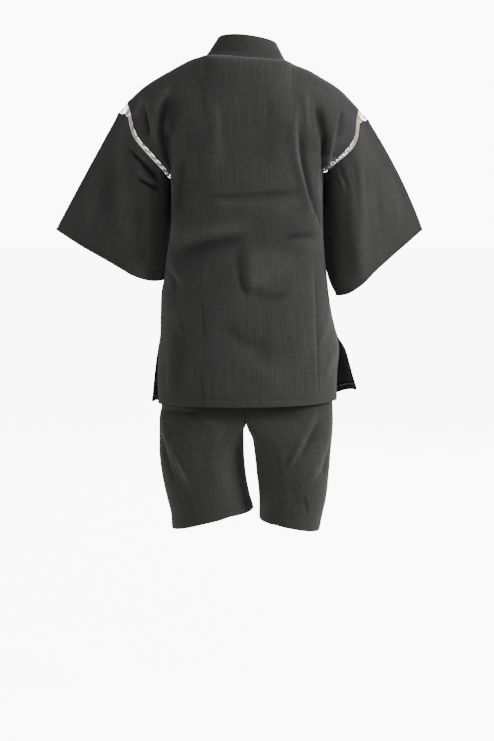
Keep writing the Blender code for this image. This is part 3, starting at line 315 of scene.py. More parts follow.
SHORTS = Table(
    ("z", "out_left", "out_right", "in_left", "in_right", "back", "front"),
    [(-1.040, 0.1660, 0.1595, -0.0155, -0.0270, 0.0980, 0.0930),
     (-1.000, 0.1690, 0.1680, -0.0152, -0.0272, 0.0985, 0.0940),
     (-0.960, 0.1785, 0.1765, -0.0060, -0.0262, 0.1000, 0.0950),
     (-0.916, 0.1880, 0.1812, 0.0022, -0.0215, 0.1025, 0.0965),
     (-0.865, 0.1938, 0.1850, 0.0064, -0.0160, 0.1060, 0.0985),
     (-0.832, 0.1945, 0.1880, 0.0070, -0.0110, 0.1085, 0.1000),
     (-0.810, 0.1930, 0.1895, 0.0060, -0.0030, 0.1110, 0.1020),
     (-0.795, 0.1915, 0.1900, 0.0000, 0.0000, 0.1130, 0.1035),
     (-0.740, 0.1865, 0.1875, 0.0000, 0.0000, 0.1165, 0.1060),
     (-0.680, 0.1850, 0.1840, 0.0000, 0.0000, 0.1165, 0.1060),
     (-0.604, 0.1870, 0.1780, 0.0000, 0.0000, 0.1120, 0.1030),
     (-0.520, 0.1700, 0.1630, 0.0000, 0.0000, 0.1050, 0.0980),
     (-0.440, 0.1480, 0.1480, 0.0000, 0.0000, 0.0980, 0.0920)])
LEG_OUTER = 14
LEG_INNER = 8
LEG_HEM = {LEFT: (-0.9900, -1.0330), RIGHT: (-1.0114, -1.0354)}     # height inside and outside
LEG_SPREAD = math.radians(112)
HIP_SQUARE, HIP_ROUND = 0.80, 0.90
LEG_SQUARE = 0.85
INNER_SHARE = 0.12
LEG_ROUND_SHARE = 0.55
THIGH_BOW = 0.7

# ---------------------------------------------------------------- creases, placed one by one
# each one: half width, height (negative: a trough), then the points of its line in x and z
BACK_CREASES = [
    (0.016, 0.0030, 0.0074, (-0.103, -0.105), (-0.102, -0.186), (-0.106, -0.227), (-0.120, -0.286),
     (-0.136, -0.337), (-0.155, -0.382), (-0.163, -0.436)),
    (0.004, 0.012, -0.0050, (-0.112, -0.140), (-0.111, -0.190), (-0.115, -0.228), (-0.129, -0.288),
     (-0.144, -0.334), (-0.161, -0.375)),
    (0.006, 0.009, -0.0105, (-0.143, -0.092), (-0.152, -0.140), (-0.160, -0.180), (-0.161, -0.253),
     (-0.150, -0.318)),
    (0.009, 0.003, 0.0062, (-0.194, -0.145), (-0.179, -0.194), (-0.171, -0.238), (-0.157, -0.289),
     (-0.150, -0.330)),
    (0.004, 0.006, -0.0040, (-0.202, -0.115), (-0.198, -0.150), (-0.190, -0.190)),
    (0.008, 0.006, 0.0035, (-0.122, -0.070), (-0.124, -0.120), (-0.130, -0.180)),
    (0.003, 0.003, 0.0034, (-0.137, -0.290), (-0.146, -0.318), (-0.152, -0.350), (-0.150, -0.375)),
    (0.003, 0.004, -0.0045, (-0.141, -0.294), (-0.149, -0.335), (-0.156, -0.372)),
    (0.008, 0.006, -0.0038, (-0.075, -0.394), (-0.115, -0.388), (-0.158, -0.390)),
    (0.012, 0.008, 0.0026, (-0.072, -0.410), (-0.115, -0.406), (-0.156, -0.410)),
    (0.009, 0.0028, -0.0034, (0.108, -0.309), (0.040, -0.306), (-0.050, -0.300), (-0.150, -0.292)),
    (0.020, 0.006, 0.0026, (0.090, -0.322), (0.000, -0.324), (-0.112, -0.320)),
    (0.014, 0.020, 0.0062, (0.186, -0.432), (0.127, -0.396), (0.051, -0.381), (-0.012, -0.368)),
    (0.030, 0.015, -0.0050, (0.186, -0.446), (0.124, -0.417), (0.056, -0.402), (-0.012, -0.394)),
    (0.0100, 0.012, -0.0042, (0.018, -0.405), (0.014, -0.450), (0.010, -0.488), (-0.002, -0.532)),
    (0.013, 0.036, 0.0056, (-0.004, -0.410), (-0.007, -0.450), (-0.010, -0.488), (-0.020, -0.515)),
    (0.012, 0.008, -0.0032, (-0.004, -0.480), (-0.022, -0.508), (-0.045, -0.517), (-0.096, -0.503)),
    (0.026, 0.024, 0.0028, (-0.030, -0.436), (-0.065, -0.450), (-0.110, -0.440)),
    (0.010, 0.0045, 0.0072, (0.178, -0.410), (0.160, -0.452), (0.128, -0.502)),
    (0.010, 0.004, 0.0042, (0.160, -0.525), (0.150, -0.563), (0.136, -0.612)),
    (0.004, 0.006, -0.0022, (0.161, -0.460), (0.156, -0.495), (0.155, -0.535)),
    (0.010, 0.008, 0.0040, (0.170, -0.500), (0.167, -0.610), (0.167, -0.745)),
    (0.014, 0.014, -0.0032, (0.144, -0.540), (0.146, -0.640), (0.149, -0.745)),
    (0.0025, 0.004, -0.0020, (0.099, -0.510), (0.093, -0.565), (0.087, -0.620)),
    (0.002, 0.003, -0.0020, (0.098, -0.670), (0.093, -0.710), (0.090, -0.755)),
    (0.0022, 0.0022, 0.0014, (0.094, -0.675), (0.089, -0.715), (0.086, -0.755)),
    (0.010, 0.002, 0.0026, (-0.138, -0.430), (-0.145, -0.606), (-0.149, -0.755)),
    (0.002, 0.006, -0.0022, (-0.1415, -0.430), (-0.1485, -0.606), (-0.1525, -0.755)),
    (0.004, 0.010, 0.0036, (-0.176, -0.550), (-0.166, -0.585), (-0.152, -0.630)),
    (0.004, 0.010, 0.0036, (-0.184, -0.635), (-0.176, -0.665), (-0.164, -0.695)),
    (0.006, 0.0035, 0.0060, (0.160, -0.070), (0.181, -0.103), (0.190, -0.118), (0.199, -0.150)),
    (0.009, 0.007, 0.0052, (0.214, -0.095), (0.207, -0.129), (0.202, -0.152), (0.194, -0.205)),
    (0.006, 0.008, -0.0060, (0.220, -0.108), (0.214, -0.145), (0.206, -0.190)),
    (0.010, 0.008, 0.0040, (0.214, -0.092), (0.230, -0.129), (0.238, -0.150)),
    (0.0045, 0.007, -0.0125, (0.170, -0.080), (0.180, -0.144), (0.182, -0.170), (0.178, -0.208),
     (0.169, -0.262),
     (0.160, -0.310)),
    (0.003, 0.003, 0.0034, (0.172, -0.130), (0.176, -0.174), (0.174, -0.202), (0.169, -0.232)),
    (0.003, 0.008, -0.0065, (0.170, -0.160), (0.171, -0.204), (0.167, -0.232), (0.164, -0.275)),
    (0.010, 0.012, -0.0042, (0.160, -0.085), (0.158, -0.135), (0.157, -0.185)),
    (0.008, 0.012, -0.0050, (0.130, -0.210), (0.141, -0.260), (0.146, -0.300), (0.152, -0.370)),
    (0.008, 0.008, 0.0034, (0.153, -0.225), (0.156, -0.270), (0.158, -0.320)),
    (0.002, 0.004, -0.0014, (0.124, -0.160), (0.124, -0.190), (0.122, -0.222)),
    (0.002, 0.004, -0.0014, (0.102, -0.210), (0.102, -0.240), (0.100, -0.275)),
    (0.018, 0.014, 0.0026, (0.070, -0.090), (0.064, -0.180), (0.070, -0.280)),
    (0.018, 0.018, -0.0022, (-0.040, -0.080), (-0.046, -0.170), (-0.040, -0.270)),
    (0.020, 0.020, -0.0028, (0.060, -0.570), (0.010, -0.610), (-0.060, -0.630)),
    (0.024, 0.024, 0.0028, (0.040, -0.620), (-0.020, -0.670), (-0.090, -0.700)),
]
FRONT_CREASES = [
    (0.008, 0.008, 0.0063, (-0.135, -0.150), (-0.130, -0.230), (-0.120, -0.340)),
    (0.008, 0.008, -0.0084, (-0.158, -0.140), (-0.155, -0.210), (-0.145, -0.300)),
    (0.007, 0.007, 0.0056, (-0.186, -0.130), (-0.172, -0.200), (-0.158, -0.290)),
    (0.008, 0.008, 0.0063, (0.140, -0.150), (0.132, -0.240), (0.112, -0.350)),
    (0.008, 0.008, -0.0084, (0.170, -0.130), (0.164, -0.210), (0.150, -0.310)),
    (0.007, 0.007, 0.0056, (0.200, -0.130), (0.188, -0.190), (0.172, -0.260)),
    (0.014, 0.014, 0.0056, (0.158, -0.390), (0.100, -0.410), (0.020, -0.425), (-0.060, -0.440)),
    (0.012, 0.012, -0.0049, (0.160, -0.430), (0.100, -0.445), (0.010, -0.450), (-0.070, -0.452)),
    (0.012, 0.012, 0.0042, (0.165, -0.480), (0.120, -0.530), (0.070, -0.620)),
    (0.006, 0.006, 0.0034, (0.095, -0.520), (0.092, -0.640), (0.090, -0.740)),
    (0.014, 0.014, -0.0042, (-0.165, -0.500), (-0.160, -0.600), (-0.160, -0.700)),
    (0.012, 0.012, 0.0042, (-0.060, -0.520), (-0.070, -0.600), (-0.072, -0.700)),
    (0.01, 0.01, -0.0056, (-0.130, -0.330), (-0.125, -0.400), (-0.100, -0.440)),
]
SLEEVE_CREASES = {
    1: [(0.0045, 0.0055, -0.0100, (0.258, -0.200), (0.244, -0.214), (0.226, -0.233), (0.203, -0.257),
         (0.180, -0.286)),
        (0.0045, 0.0050, -0.0085, (0.238, -0.268), (0.222, -0.275), (0.205, -0.283), (0.180, -0.296)),
        (0.005, 0.005, 0.0040, (0.240, -0.246), (0.218, -0.264), (0.192, -0.284)),
        (0.010, 0.006, 0.0035, (0.252, -0.190), (0.228, -0.214), (0.200, -0.244)),
        (0.012, 0.012, 0.0024, (0.262, -0.170), (0.268, -0.240), (0.262, -0.330), (0.256, -0.440)),
        (0.014, 0.014, -0.0022, (0.286, -0.200), (0.300, -0.280), (0.305, -0.370)),
        (0.012, 0.012, 0.0020, (0.310, -0.240), (0.335, -0.310), (0.345, -0.390)),
        (0.012, 0.012, -0.0022, (0.225, -0.310), (0.232, -0.380), (0.228, -0.470)),
        (0.008, 0.008, 0.0022, (0.205, -0.310), (0.210, -0.390), (0.206, -0.470))],
    -1: [(0.012, 0.014, 0.0030, (-0.238, -0.170), (-0.243, -0.280), (-0.248, -0.390), (-0.252, -0.480)),
         (0.014, 0.014, -0.0026, (-0.216, -0.250), (-0.212, -0.320), (-0.210, -0.420), (-0.214, -0.490)),
         (0.003, 0.003, -0.0024, (-0.196, -0.236), (-0.204, -0.262), (-0.216, -0.290)),
         (0.003, 0.003, -0.0020, (-0.182, -0.248), (-0.192, -0.272), (-0.202, -0.296)),
         (0.003, 0.003, 0.0018, (-0.189, -0.240), (-0.198, -0.266), (-0.208, -0.290)),
         (0.014, 0.014, -0.0014, (-0.270, -0.210), (-0.282, -0.300), (-0.290, -0.400)),
         (0.012, 0.012, 0.0014, (-0.300, -0.230), (-0.320, -0.310), (-0.330, -0.390)),
         (0.007, 0.007, 0.0022, (-0.200, -0.400), (-0.206, -0.450), (-0.208, -0.510))]}
LEG_CREASES = {
    1: [(0.010, 0.0035, 0.0068, (0.190, -0.760), (0.171, -0.822), (0.155, -0.866), (0.136, -0.906),
         (0.118, -0.950)),
        (0.008, 0.006, -0.0035, (0.188, -0.810), (0.174, -0.870), (0.150, -0.940)),
        (0.016, 0.012, 0.0034, (0.110, -0.762), (0.061, -0.800), (0.043, -0.832), (0.037, -0.880)),
        (0.006, 0.0025, -0.0038, (0.190, -0.768), (0.145, -0.766), (0.092, -0.768)),
        (0.005, 0.004, 0.0026, (0.188, -0.757), (0.145, -0.756), (0.096, -0.758)),
        (0.012, 0.014, -0.0030, (0.018, -0.770), (0.020, -0.860), (0.012, -0.960)),
        (0.020, 0.020, -0.0016, (0.090, -0.820), (0.088, -0.880), (0.085, -0.950))],
    -1: [(0.008, 0.003, 0.0058, (-0.158, -0.757), (-0.139, -0.793), (-0.122, -0.822), (-0.102, -0.864),
          (-0.080, -0.905)),
         (0.004, 0.008, -0.0035, (-0.156, -0.785), (-0.136, -0.825), (-0.112, -0.870)),
         (0.010, 0.008, 0.0056, (-0.180, -0.765), (-0.171, -0.827), (-0.155, -0.874), (-0.132, -0.930)),
         (0.004, 0.005, -0.0036, (-0.182, -0.830), (-0.173, -0.870), (-0.162, -0.910)),
         (0.003, 0.006, -0.0024, (-0.118, -0.945), (-0.127, -0.974), (-0.129, -0.992)),
         (0.003, 0.003, 0.0014, (-0.126, -0.940), (-0.134, -0.968), (-0.137, -0.985)),
         (0.008, 0.010, -0.0040, (-0.034, -0.800), (-0.032, -0.870), (-0.030, -0.950)),
         (0.012, 0.008, 0.0024, (-0.078, -0.840), (-0.076, -0.880), (-0.078, -0.925)),
         (0.014, 0.012, -0.0018, (-0.094, -0.915), (-0.104, -0.950), (-0.112, -0.980)),
         (0.002, 0.002, 0.0022, (-0.112, -0.748), (-0.1125, -0.762), (-0.113, -0.776))]}
CREASE_POINTS = 28
CREASE_END = 0.28        # share of a crease in which it fades at each end
COCKLE_SIZE = 0.055      # wavelengths and heights of the cloth's own unevenness
COCKLE = 0.0011
FINE_COCKLE_SIZE = 0.017
FINE_COCKLE = 0.00028


def crease_line(points):
    """Evenly spread points along a smooth curve through the points of a crease."""
    knots = np.array(points)
    lengths = path_lengths(knots)
    along = np.linspace(0, lengths[-1], CREASE_POINTS)
    slopes = np.gradient(knots, lengths, axis=0)
    i = np.clip(np.searchsorted(lengths, along, side="right") - 1, 0, len(knots) - 2)
    h = (lengths[i + 1] - lengths[i])[:, None]
    t = (along - lengths[i])[:, None] / h
    return between(knots[i], knots[i + 1], slopes[i], slopes[i + 1], t, h)


def relief(creases, x, z):
    """Height of the creases at the places of a panel."""
    total = np.zeros(x.shape)
    for left_width, right_width, height, *points in creases:
        line = crease_line(points)
        nearest, share, width = np.full(x.shape, 1e9), np.zeros(x.shape), np.full(x.shape, left_width)
        for k in range(CREASE_POINTS - 1):
            (x0, z0), (x1, z1) = line[k], line[k + 1]
            dx, dz = x1 - x0, z1 - z0
            t = np.clip(((x - x0) * dx + (z - z0) * dz) / (dx * dx + dz * dz), 0.0, 1.0)
            away = np.hypot(x - x0 - t * dx, z - z0 - t * dz)
            closer = away < nearest
            nearest = np.where(closer, away, nearest)
            share = np.where(closer, (k + t) / (CREASE_POINTS - 1), share)
            beside = np.where(dx * (z - z0) > dz * (x - x0), left_width, right_width)
            width = np.where(closer, beside, width)
        ends = smooth(share / CREASE_END) * smooth((1 - share) / CREASE_END)
        broad = width * (1 + 0.35 * np.sin(5.0 * share + 40.0 * points[0][0]))
        total += height * ends * np.exp(-(nearest / broad) ** 2)
    return total


def cockle(spots, seed):
    """Slight unevenness of worn cloth, the same on every run."""
    heights = np.empty(spots.shape[:2])
    shift = Vector((seed * 1.7, seed * 0.9, seed * 2.3))
    for i, line in enumerate(spots):
        for j, spot in enumerate(line):
            place = Vector(spot)
            broad = Vector((place.x, place.y, place.z * 0.55)) / COCKLE_SIZE + shift
            heights[i, j] = (COCKLE * noise.noise(broad)
                             + FINE_COCKLE * noise.noise(place / FINE_COCKLE_SIZE + shift))
    return heights


# ---------------------------------------------------------------- the worn forms
def section(f, share, fall):
    above = np.minimum(1.0, np.maximum(share, 0.0) / CORNER_SHARE) ** CORNER_EASE
    falling = SECTION_ROOT + (BOXY_ROOT - SECTION_ROOT) * smooth((fall - BOXY_FROM) / (1 - BOXY_FROM))
    boxy = np.where(share > 0, BOXY_ROOT, falling)
    root = boxy + (UPPER_ROOT - boxy) * above
    squareness = SECTION_POWER + (UPPER_POWER - SECTION_POWER) * above
    return np.maximum(0.0, 1 - np.abs(f) ** squareness) ** (1 / root)


def arm_spots(hand, step, edge):
    return np.stack([ARMS[hand].at(edge + axis, step) for axis in ("_x", "_y", "_z")], axis=-1)


def body_form(face, f, row):
    """The back or front of the jacket body: f runs from -1 (right) to 1 (left), rows go up."""
    f, row = np.broadcast_arrays(np.asarray(f, dtype=float), np.asarray(row, dtype=float))
    left, word = f >= 0, "back" if face == BACK else "front"
    u = np.interp(np.minimum(row, LOW_TOP), np.arange(LOW_TOP + 1), LOWER_ROWS)
    right_hem, middle, left_hem = HEM[face]
    hem = middle + (np.where(f > 0, left_hem, right_hem) - middle) * np.abs(f) ** HEM_BOW
    underarm = (UNDERARM_Z[1] * (1 + f) + UNDERARM_Z[-1] * (1 - f)) / 2
    z = hem + (underarm - hem) * u
    sewn = row >= SLIT_ROW
    half = np.where(left, BODY.at("left", z), BODY.at("right", z))
    if face == FRONT:
        half = np.where(sewn, half, np.where(left, BODY.at("front_left", z), BODY.at("front_right", z)))
    depth, edge = BODY.at(word, z), np.where(sewn, 0.0, BODY.at(word + "_edge", z))
    low = np.stack((f * half, edge + (face * depth - edge) * section(f, np.zeros(f.shape), u), z), axis=-1)

    step = np.clip(BODY_TOP - row, 0, ARM_STEPS)
    arms = {hand: arm_spots(hand, step, "body") for hand in (LEFT, RIGHT)}
    w = {h: (arms[h][..., 2] - UNDERARM_Z[h]) / (SHOULDER_END_Z[h] - UNDERARM_Z[h]) for h in (LEFT, RIGHT)}
    here = np.clip((w[1] * (1 + f) + w[-1] * (1 - f)) / 2, 0.0, 1.0)
    z = underarm + (SHOULDER.at("z", f) - underarm) * here
    turn = np.maximum(0.0, 1 - here ** SHOULDER_ROUND) ** (1 / SHOULDER_ROUND)
    x = f * np.where(left, arms[1][..., 0], arms[-1][..., 0])
    edge = face * np.where(left, arms[1][..., 1], arms[-1][..., 1])
    y = edge + (face * BODY.at(word, -0.25) * turn - edge) * section(f, here, np.ones(f.shape))
    if face == BACK:
        nape = np.maximum(0.0, 1 - (np.abs(f) / NECK_F) ** NAPE_BOW) ** CORNER_EASE
        y = y + NECK_DEPTH * nape * here ** 4
    high = np.stack((x, y, z), axis=-1)
    return np.where((row <= LOW_TOP)[..., None], low, high)


def level_of(row):
    """Height of a row at the jacket's left edge, the key of the front edge's table."""
    u = np.interp(np.minimum(row, LOW_TOP), np.arange(LOW_TOP + 1), LOWER_ROWS)
    low = HEM[1][2] + (UNDERARM_Z[1] - HEM[1][2]) * u
    return np.where(row <= LOW_TOP, low, ARMS[1].at("body_z", np.clip(BODY_TOP - row, 0, ARM_STEPS)))


def lap_lift(x, z):
    """How far the outer front is carried over the inner one."""
    return LAP_LIFT * smooth((LAP_TOP - z) / LAP_TOP_FADE) * smooth((LAP_SIDE - x) / LAP_SIDE_FADE)


def sleeve_form(hand, column, t):
    """The sleeve: column 0 is the fold on top, then the back, the underarm seam and the front."""
    column, t = np.broadcast_arrays(np.asarray(column, dtype=float), np.asarray(t, dtype=float))
    step = np.where(column <= ARM_STEPS, column, 2 * ARM_STEPS - column)
    back = column <= ARM_STEPS
    edge = ARMS[hand].cells[:, 4:7]
    lengths = path_lengths(edge)
    part = np.interp(step, np.arange(ARM_STEPS + 1), lengths / lengths[-1])
    facing = np.stack((np.ones(t.shape), np.where(back, 1, -1), np.ones(t.shape)), -1)
    start, seam = (arm_spots(hand, step, edge) * facing for edge in ("sleeve", "body"))
    cuff = CUFFS[hand]
    end_y = np.where(back, cuff.at("back", part), cuff.at("front", part))
    end = np.stack((cuff.at("x", part), end_y, cuff.at("z", part)), axis=-1)
    close = LACE_CLOSE * smooth((step - 0.5) / 1.0) * smooth(1 - t / LACE_CLOSE_END)
    point = start + (end - start) * t[..., None] + (seam - start) * close[..., None]
    point[..., 0] += 4 * t * (1 - t) * TOP_SWELL[hand] * (1 - part) ** 2
    point[..., 0] += UNDER_LINE.at("left" if hand == LEFT else "right", t) * part ** UNDER_EASE
    point[..., 1] += UNDER_LINE.at("turn", t) * part ** TURN_EASE
    return point * np.array((hand, 1.0, 1.0))


def leg_form(hand, column, level):
    """A leg: columns go from the centre back round the outside to the centre front, then back inside.

    level is a height above the crotch, or 1 plus the share of the way down below it.
    """
    column, level = np.broadcast_arrays(np.asarray(column, dtype=float), np.asarray(level, dtype=float))
    side = "left" if hand == LEFT else "right"
    outside = column <= LEG_OUTER
    share = np.where(level > 0, level - 1, 0.0)
    inner = np.clip((column - LEG_OUTER) / LEG_INNER, 0.0, 1.0)
    drop = np.where(outside, 0.0, np.sin(np.pi * inner) ** THIGH_BOW)
    in_z, out_z = LEG_HEM[hand]
    outer = np.clip(column / LEG_OUTER, 0.0, 1.0)
    place = np.where(outside, INNER_SHARE + (1 - INNER_SHARE) * np.abs(np.cos(np.pi * (outer - 0.5))),
                     INNER_SHARE * (1 - np.sin(np.pi * inner)))
    top = CROTCH_Z - CROTCH_DROP * drop
    z = np.where(level > 0, top + (in_z + (out_z - in_z) * place - top) * share, level)
    out_half, in_half = SHORTS.at("out_" + side, z), hand * SHORTS.at("in_" + side, z)
    back, front = SHORTS.at("back", z), SHORTS.at("front", z)
    turn = np.pi * (0.5 - outer)
    squared = in_half + (out_half - in_half) * power(np.maximum(np.cos(turn), 0.0), HIP_SQUARE)
    x = np.where(outside, squared, in_half)
    y = np.where(outside, power(np.sin(turn), HIP_ROUND), -np.cos(np.pi * inner))
    behind = -LEG_SPREAD - (2 * np.pi - 2 * LEG_SPREAD) * inner
    angle = np.where(outside, LEG_SPREAD * (1 - 2 * outer), behind)
    y = y * np.where(y > 0, back, front)
    round_x = (in_half + out_half) / 2 + (out_half - in_half) / 2 * power(np.cos(angle), LEG_SQUARE)
    round_y = power(np.sin(angle), LEG_SQUARE)
    round_y = round_y * np.where(round_y > 0, back, front)
    mix = smooth(share / LEG_ROUND_SHARE)
    x, y = x + (round_x - x) * mix, y + (round_y - y) * mix
    return np.stack((hand * (x + SEAM / 2 * (1 - mix)), y, z), axis=-1)


# ---------------------------------------------------------------- cloth from its cut
def settle(spots, times, weight, ring=False):
    """Eases a grid of places so that it bends as softly as cloth, where the weight allows it."""
    spots = spots.copy()
    for _ in range(times):
        beside = np.zeros_like(spots)
        beside[1:-1] = (spots[2:] + spots[:-2]) / 2 - spots[1:-1]
        if ring:
            loop = spots[:, :-1]
            across = (np.roll(loop, 1, axis=1) + np.roll(loop, -1, axis=1)) / 2 - loop
            across = np.concatenate((across, across[:, :1]), axis=1)
        else:
            across = np.zeros_like(spots)
            across[:, 1:-1] = (spots[:, 2:] + spots[:, :-2]) / 2 - spots[:, 1:-1]
        spots += (beside + across) * 0.25 * weight[..., None]
    return spots


def outwards(spots, ring=False):
    """Directions off the cloth, away from the wearer."""
    along = np.gradient(spots, axis=0)
    if ring:
        loop = spots[:, :-1]
        across = np.roll(loop, -1, axis=1) - np.roll(loop, 1, axis=1)
        across = np.concatenate((across, across[:, :1]), axis=1)
    else:
        across = np.gradient(spots, axis=1)
    out = units(np.cross(across, along))
    middle = spots.mean(axis=1, keepdims=True) if ring else np.array((0.0, 0.0, 0.0))
    away = (spots - middle) * np.array((1.0, 1.0, 0.0))
    return out if (out * away).sum() > 0 else -out


def run_lengths(spots, axis):
    """Length of the cut along a grid, taken at the middle of the other direction's lines."""
    steps = np.linalg.norm(np.diff(spots, axis=axis), axis=-1).mean(axis=1 - axis)
    return np.concatenate(([0.0], np.cumsum(steps)))


# painted shade: the fold attribute reaches its darkest and its palest over this height of relief
FOLD_SCALE = 0.012       # height of relief from the darkest trough to the palest ridge


def thing_of(name, bm, material):
    """A finished piece: its mesh, in the scene, with its finish."""
    for face in bm.faces:
        face.smooth = True
    mesh = bpy.data.meshes.new(name)
    bm.to_mesh(mesh)
    bm.free()
    mesh.materials.append(material)
    thing = bpy.data.objects.new(name, mesh)
    bpy.context.scene.collection.objects.link(thing)
    return thing


def sew(name, spots, material, wall, dropped=None, hem=None, ring=False, folds=None):
    """A cloth panel: a grid moved onto its places, with its cut as UV map, and a wall inwards.

    Its attribute fold carries painted shade: it says how far each place lies on a ridge (towards 1) or in a
    trough (towards 0), and the finish paints the troughs darker and the ridges paler.
    """
    rows, cols = spots.shape[:2]
    bm = bmesh.new()
    bmesh.ops.create_grid(bm, x_segments=cols - 1, y_segments=rows - 1, size=1.0)
    cells = {}
    for vert in bm.verts:
        j, i = round((vert.co.x + 1) / 2 * (cols - 1)), round((vert.co.y + 1) / 2 * (rows - 1))
        cells[vert.index] = (i, j)
        vert.co = Vector(spots[i, j])
    across, along = run_lengths(spots, 1), run_lengths(spots, 0)
    cut = bm.loops.layers.uv.new("cut")
    for face in bm.faces:
        for loop in face.loops:
            i, j = cells[loop.vert.index]
            loop[cut].uv = (across[j], along[i])
    weight = bm.verts.layers.deform.verify()
    fold = bm.verts.layers.float.new("fold")
    for vert in bm.verts:
        i, j = cells[vert.index]
        vert[weight][0] = 1.0 if hem is None else float(hem[i, j])
        vert[fold] = 0.5 if folds is None else float(np.clip(0.5 + folds[i, j] / FOLD_SCALE, 0.0, 1.0))
    if dropped is not None:
        middles = {face: np.mean([cells[v.index] for v in face.verts], axis=0) for face in bm.faces}
        gone = [face for face, middle in middles.items() if dropped(*middle)]
        bmesh.ops.delete(bm, geom=gone, context="FACES")
    if ring:
        bmesh.ops.remove_doubles(bm, verts=bm.verts, dist=1e-6)
    bm.normal_update()
    away = outwards(spots, ring)
    total = 0.0
    for face in bm.faces:
        i, j = cells.get(face.verts[0].index, (0, 0))
        total += face.normal.dot(Vector(away[i, j]))
    if total < 0:
        bmesh.ops.reverse_faces(bm, faces=bm.faces)
    panel = thing_of(name, bm, material)
    panel.vertex_groups.new(name="wall")
    thick = panel.modifiers.new("wall", "SOLIDIFY")
    thick.thickness = wall
    thick.offset = -1.0
    thick.vertex_group = "wall"
    thick.thickness_vertex_group = 0.0
    return panel


# ---------------------------------------------------------------- finishes
def group_sockets(name, ins, outs):
    group = bpy.data.node_groups.new(name, "ShaderNodeTree")
    for label, value in ins:
        socket = group.interface.new_socket(label, in_out="INPUT", socket_type="NodeSocketFloat")
        socket.default_value = value
    for label, kind in outs:
        group.interface.new_socket(label, in_out="OUTPUT", socket_type=kind)
    return group, group.nodes.new("NodeGroupInput"), group.nodes.new("NodeGroupOutput")


def crepe_weave():
    """Crepe: slubs that run along the warp, fainter ones across, fine yarns and a few faded patches, with
    painted shade from the fold attribute: darker in the troughs of creases, paler on their ridges.
    """
    group, given, result = group_sockets(
        "crepe_weave", (("Slub", 1.0), ("Fade", 1.0)), (
            ("Tone", "NodeSocketFloat"), ("Height", "NodeSocketFloat"), ("Shade", "NodeSocketFloat")))
    nodes, links = group.nodes, group.links
    cut = nodes.new("ShaderNodeUVMap")
    cut.uv_map = "cut"

    def streaks(across, along, detail):
        stretch = nodes.new("ShaderNodeMapping")
        stretch.inputs["Scale"].default_value = (across, along, 1.0)
        links.new(cut.outputs["UV"], stretch.inputs["Vector"])
        grain = nodes.new("ShaderNodeTexNoise")
        grain.inputs["Scale"].default_value = 1.0
        grain.inputs["Detail"].default_value = detail
        grain.inputs["Roughness"].default_value = 0.55
        links.new(stretch.outputs["Vector"], grain.inputs["Vector"])
        return grain.outputs["Fac"]

    def mix(kind, a, b):
        node = nodes.new("ShaderNodeMath")
        node.operation = kind
        for socket, value in zip(node.inputs, (a, b)):
            if isinstance(value, float):
                socket.default_value = value
            else:
                links.new(value, socket)
        return node.outputs[0]

    warp = streaks(420.0, 9.0, 2.0)
    weft = streaks(14.0, 520.0, 2.0)
    yarn = streaks(1500.0, 60.0, 0.0)
    pick = streaks(60.0, 1500.0, 0.0)
    patches = streaks(9.0, 6.0, 3.0)
    slubs = mix("ADD", mix("MULTIPLY", warp, 0.62), mix("MULTIPLY", weft, 0.38))
    fine = mix("ADD", mix("MULTIPLY", yarn, 0.6), mix("MULTIPLY", pick, 0.4))
    slub_tone = mix("MULTIPLY", mix("SUBTRACT", slubs, 0.5), given.outputs["Slub"])
    fade_tone = mix("MULTIPLY", mix("SUBTRACT", patches, 0.5), given.outputs["Fade"])
    fine_tone = mix("MULTIPLY", mix("SUBTRACT", fine, 0.5), 0.5)
    tone = mix("ADD", mix("ADD", slub_tone, mix("MULTIPLY", fade_tone, 0.45)), fine_tone)
    links.new(mix("ADD", tone, 0.5), result.inputs["Tone"])
    # painted shade: the fold attribute becomes a factor on the colour, darker in troughs and paler on ridges,
    # darker under the jacket's hem and in the patches of painted shade, paler in the patches of painted light
    fold = nodes.new("ShaderNodeAttribute")
    fold.attribute_name = "fold"
    shade = nodes.new("ShaderNodeFloatCurve")
    curve = shade.mapping.curves[0]
    curve.points[0].location = (0.0, 0.12)
    curve.points[1].location = (1.0, 0.68)
    curve.points.new(0.5, 0.5)
    shade.mapping.update()
    links.new(fold.outputs["Fac"], shade.inputs["Value"])
    links.new(mix("MULTIPLY", shade.outputs["Value"], 2.0), result.inputs["Shade"])
    links.new(mix("ADD", mix("MULTIPLY", slubs, 0.7), mix("MULTIPLY", fine, 0.3)), result.inputs["Height"])
    return group


WEAVE = crepe_weave()
CREPE_DARK, CREPE_LIGHT = (0.0165, 0.0165, 0.0160), (0.0300, 0.0302, 0.0296)


def bare_material(name):
    stuff = bpy.data.materials.new(name)
    stuff.use_nodes = True
    return stuff, stuff.node_tree, stuff.node_tree.nodes["Principled BSDF"].inputs


def two_tones(tree, tone, dark, light, low, high):
    """From the dark tone at low to the light one at high."""
    ramp = tree.nodes.new("ShaderNodeValToRGB")
    for element, colour, position in zip(ramp.color_ramp.elements, (dark, light), (low, high)):
        element.position = position
        element.color = (*colour, 1.0)
    tree.links.new(tone, ramp.inputs["Fac"])
    return ramp.outputs["Color"]


def raised(tree, skin, height, strength, distance):
    bump = tree.nodes.new("ShaderNodeBump")
    bump.inputs["Strength"].default_value = strength
    bump.inputs["Distance"].default_value = distance
    tree.links.new(height, bump.inputs["Height"])
    tree.links.new(bump.outputs["Normal"], skin["Normal"])


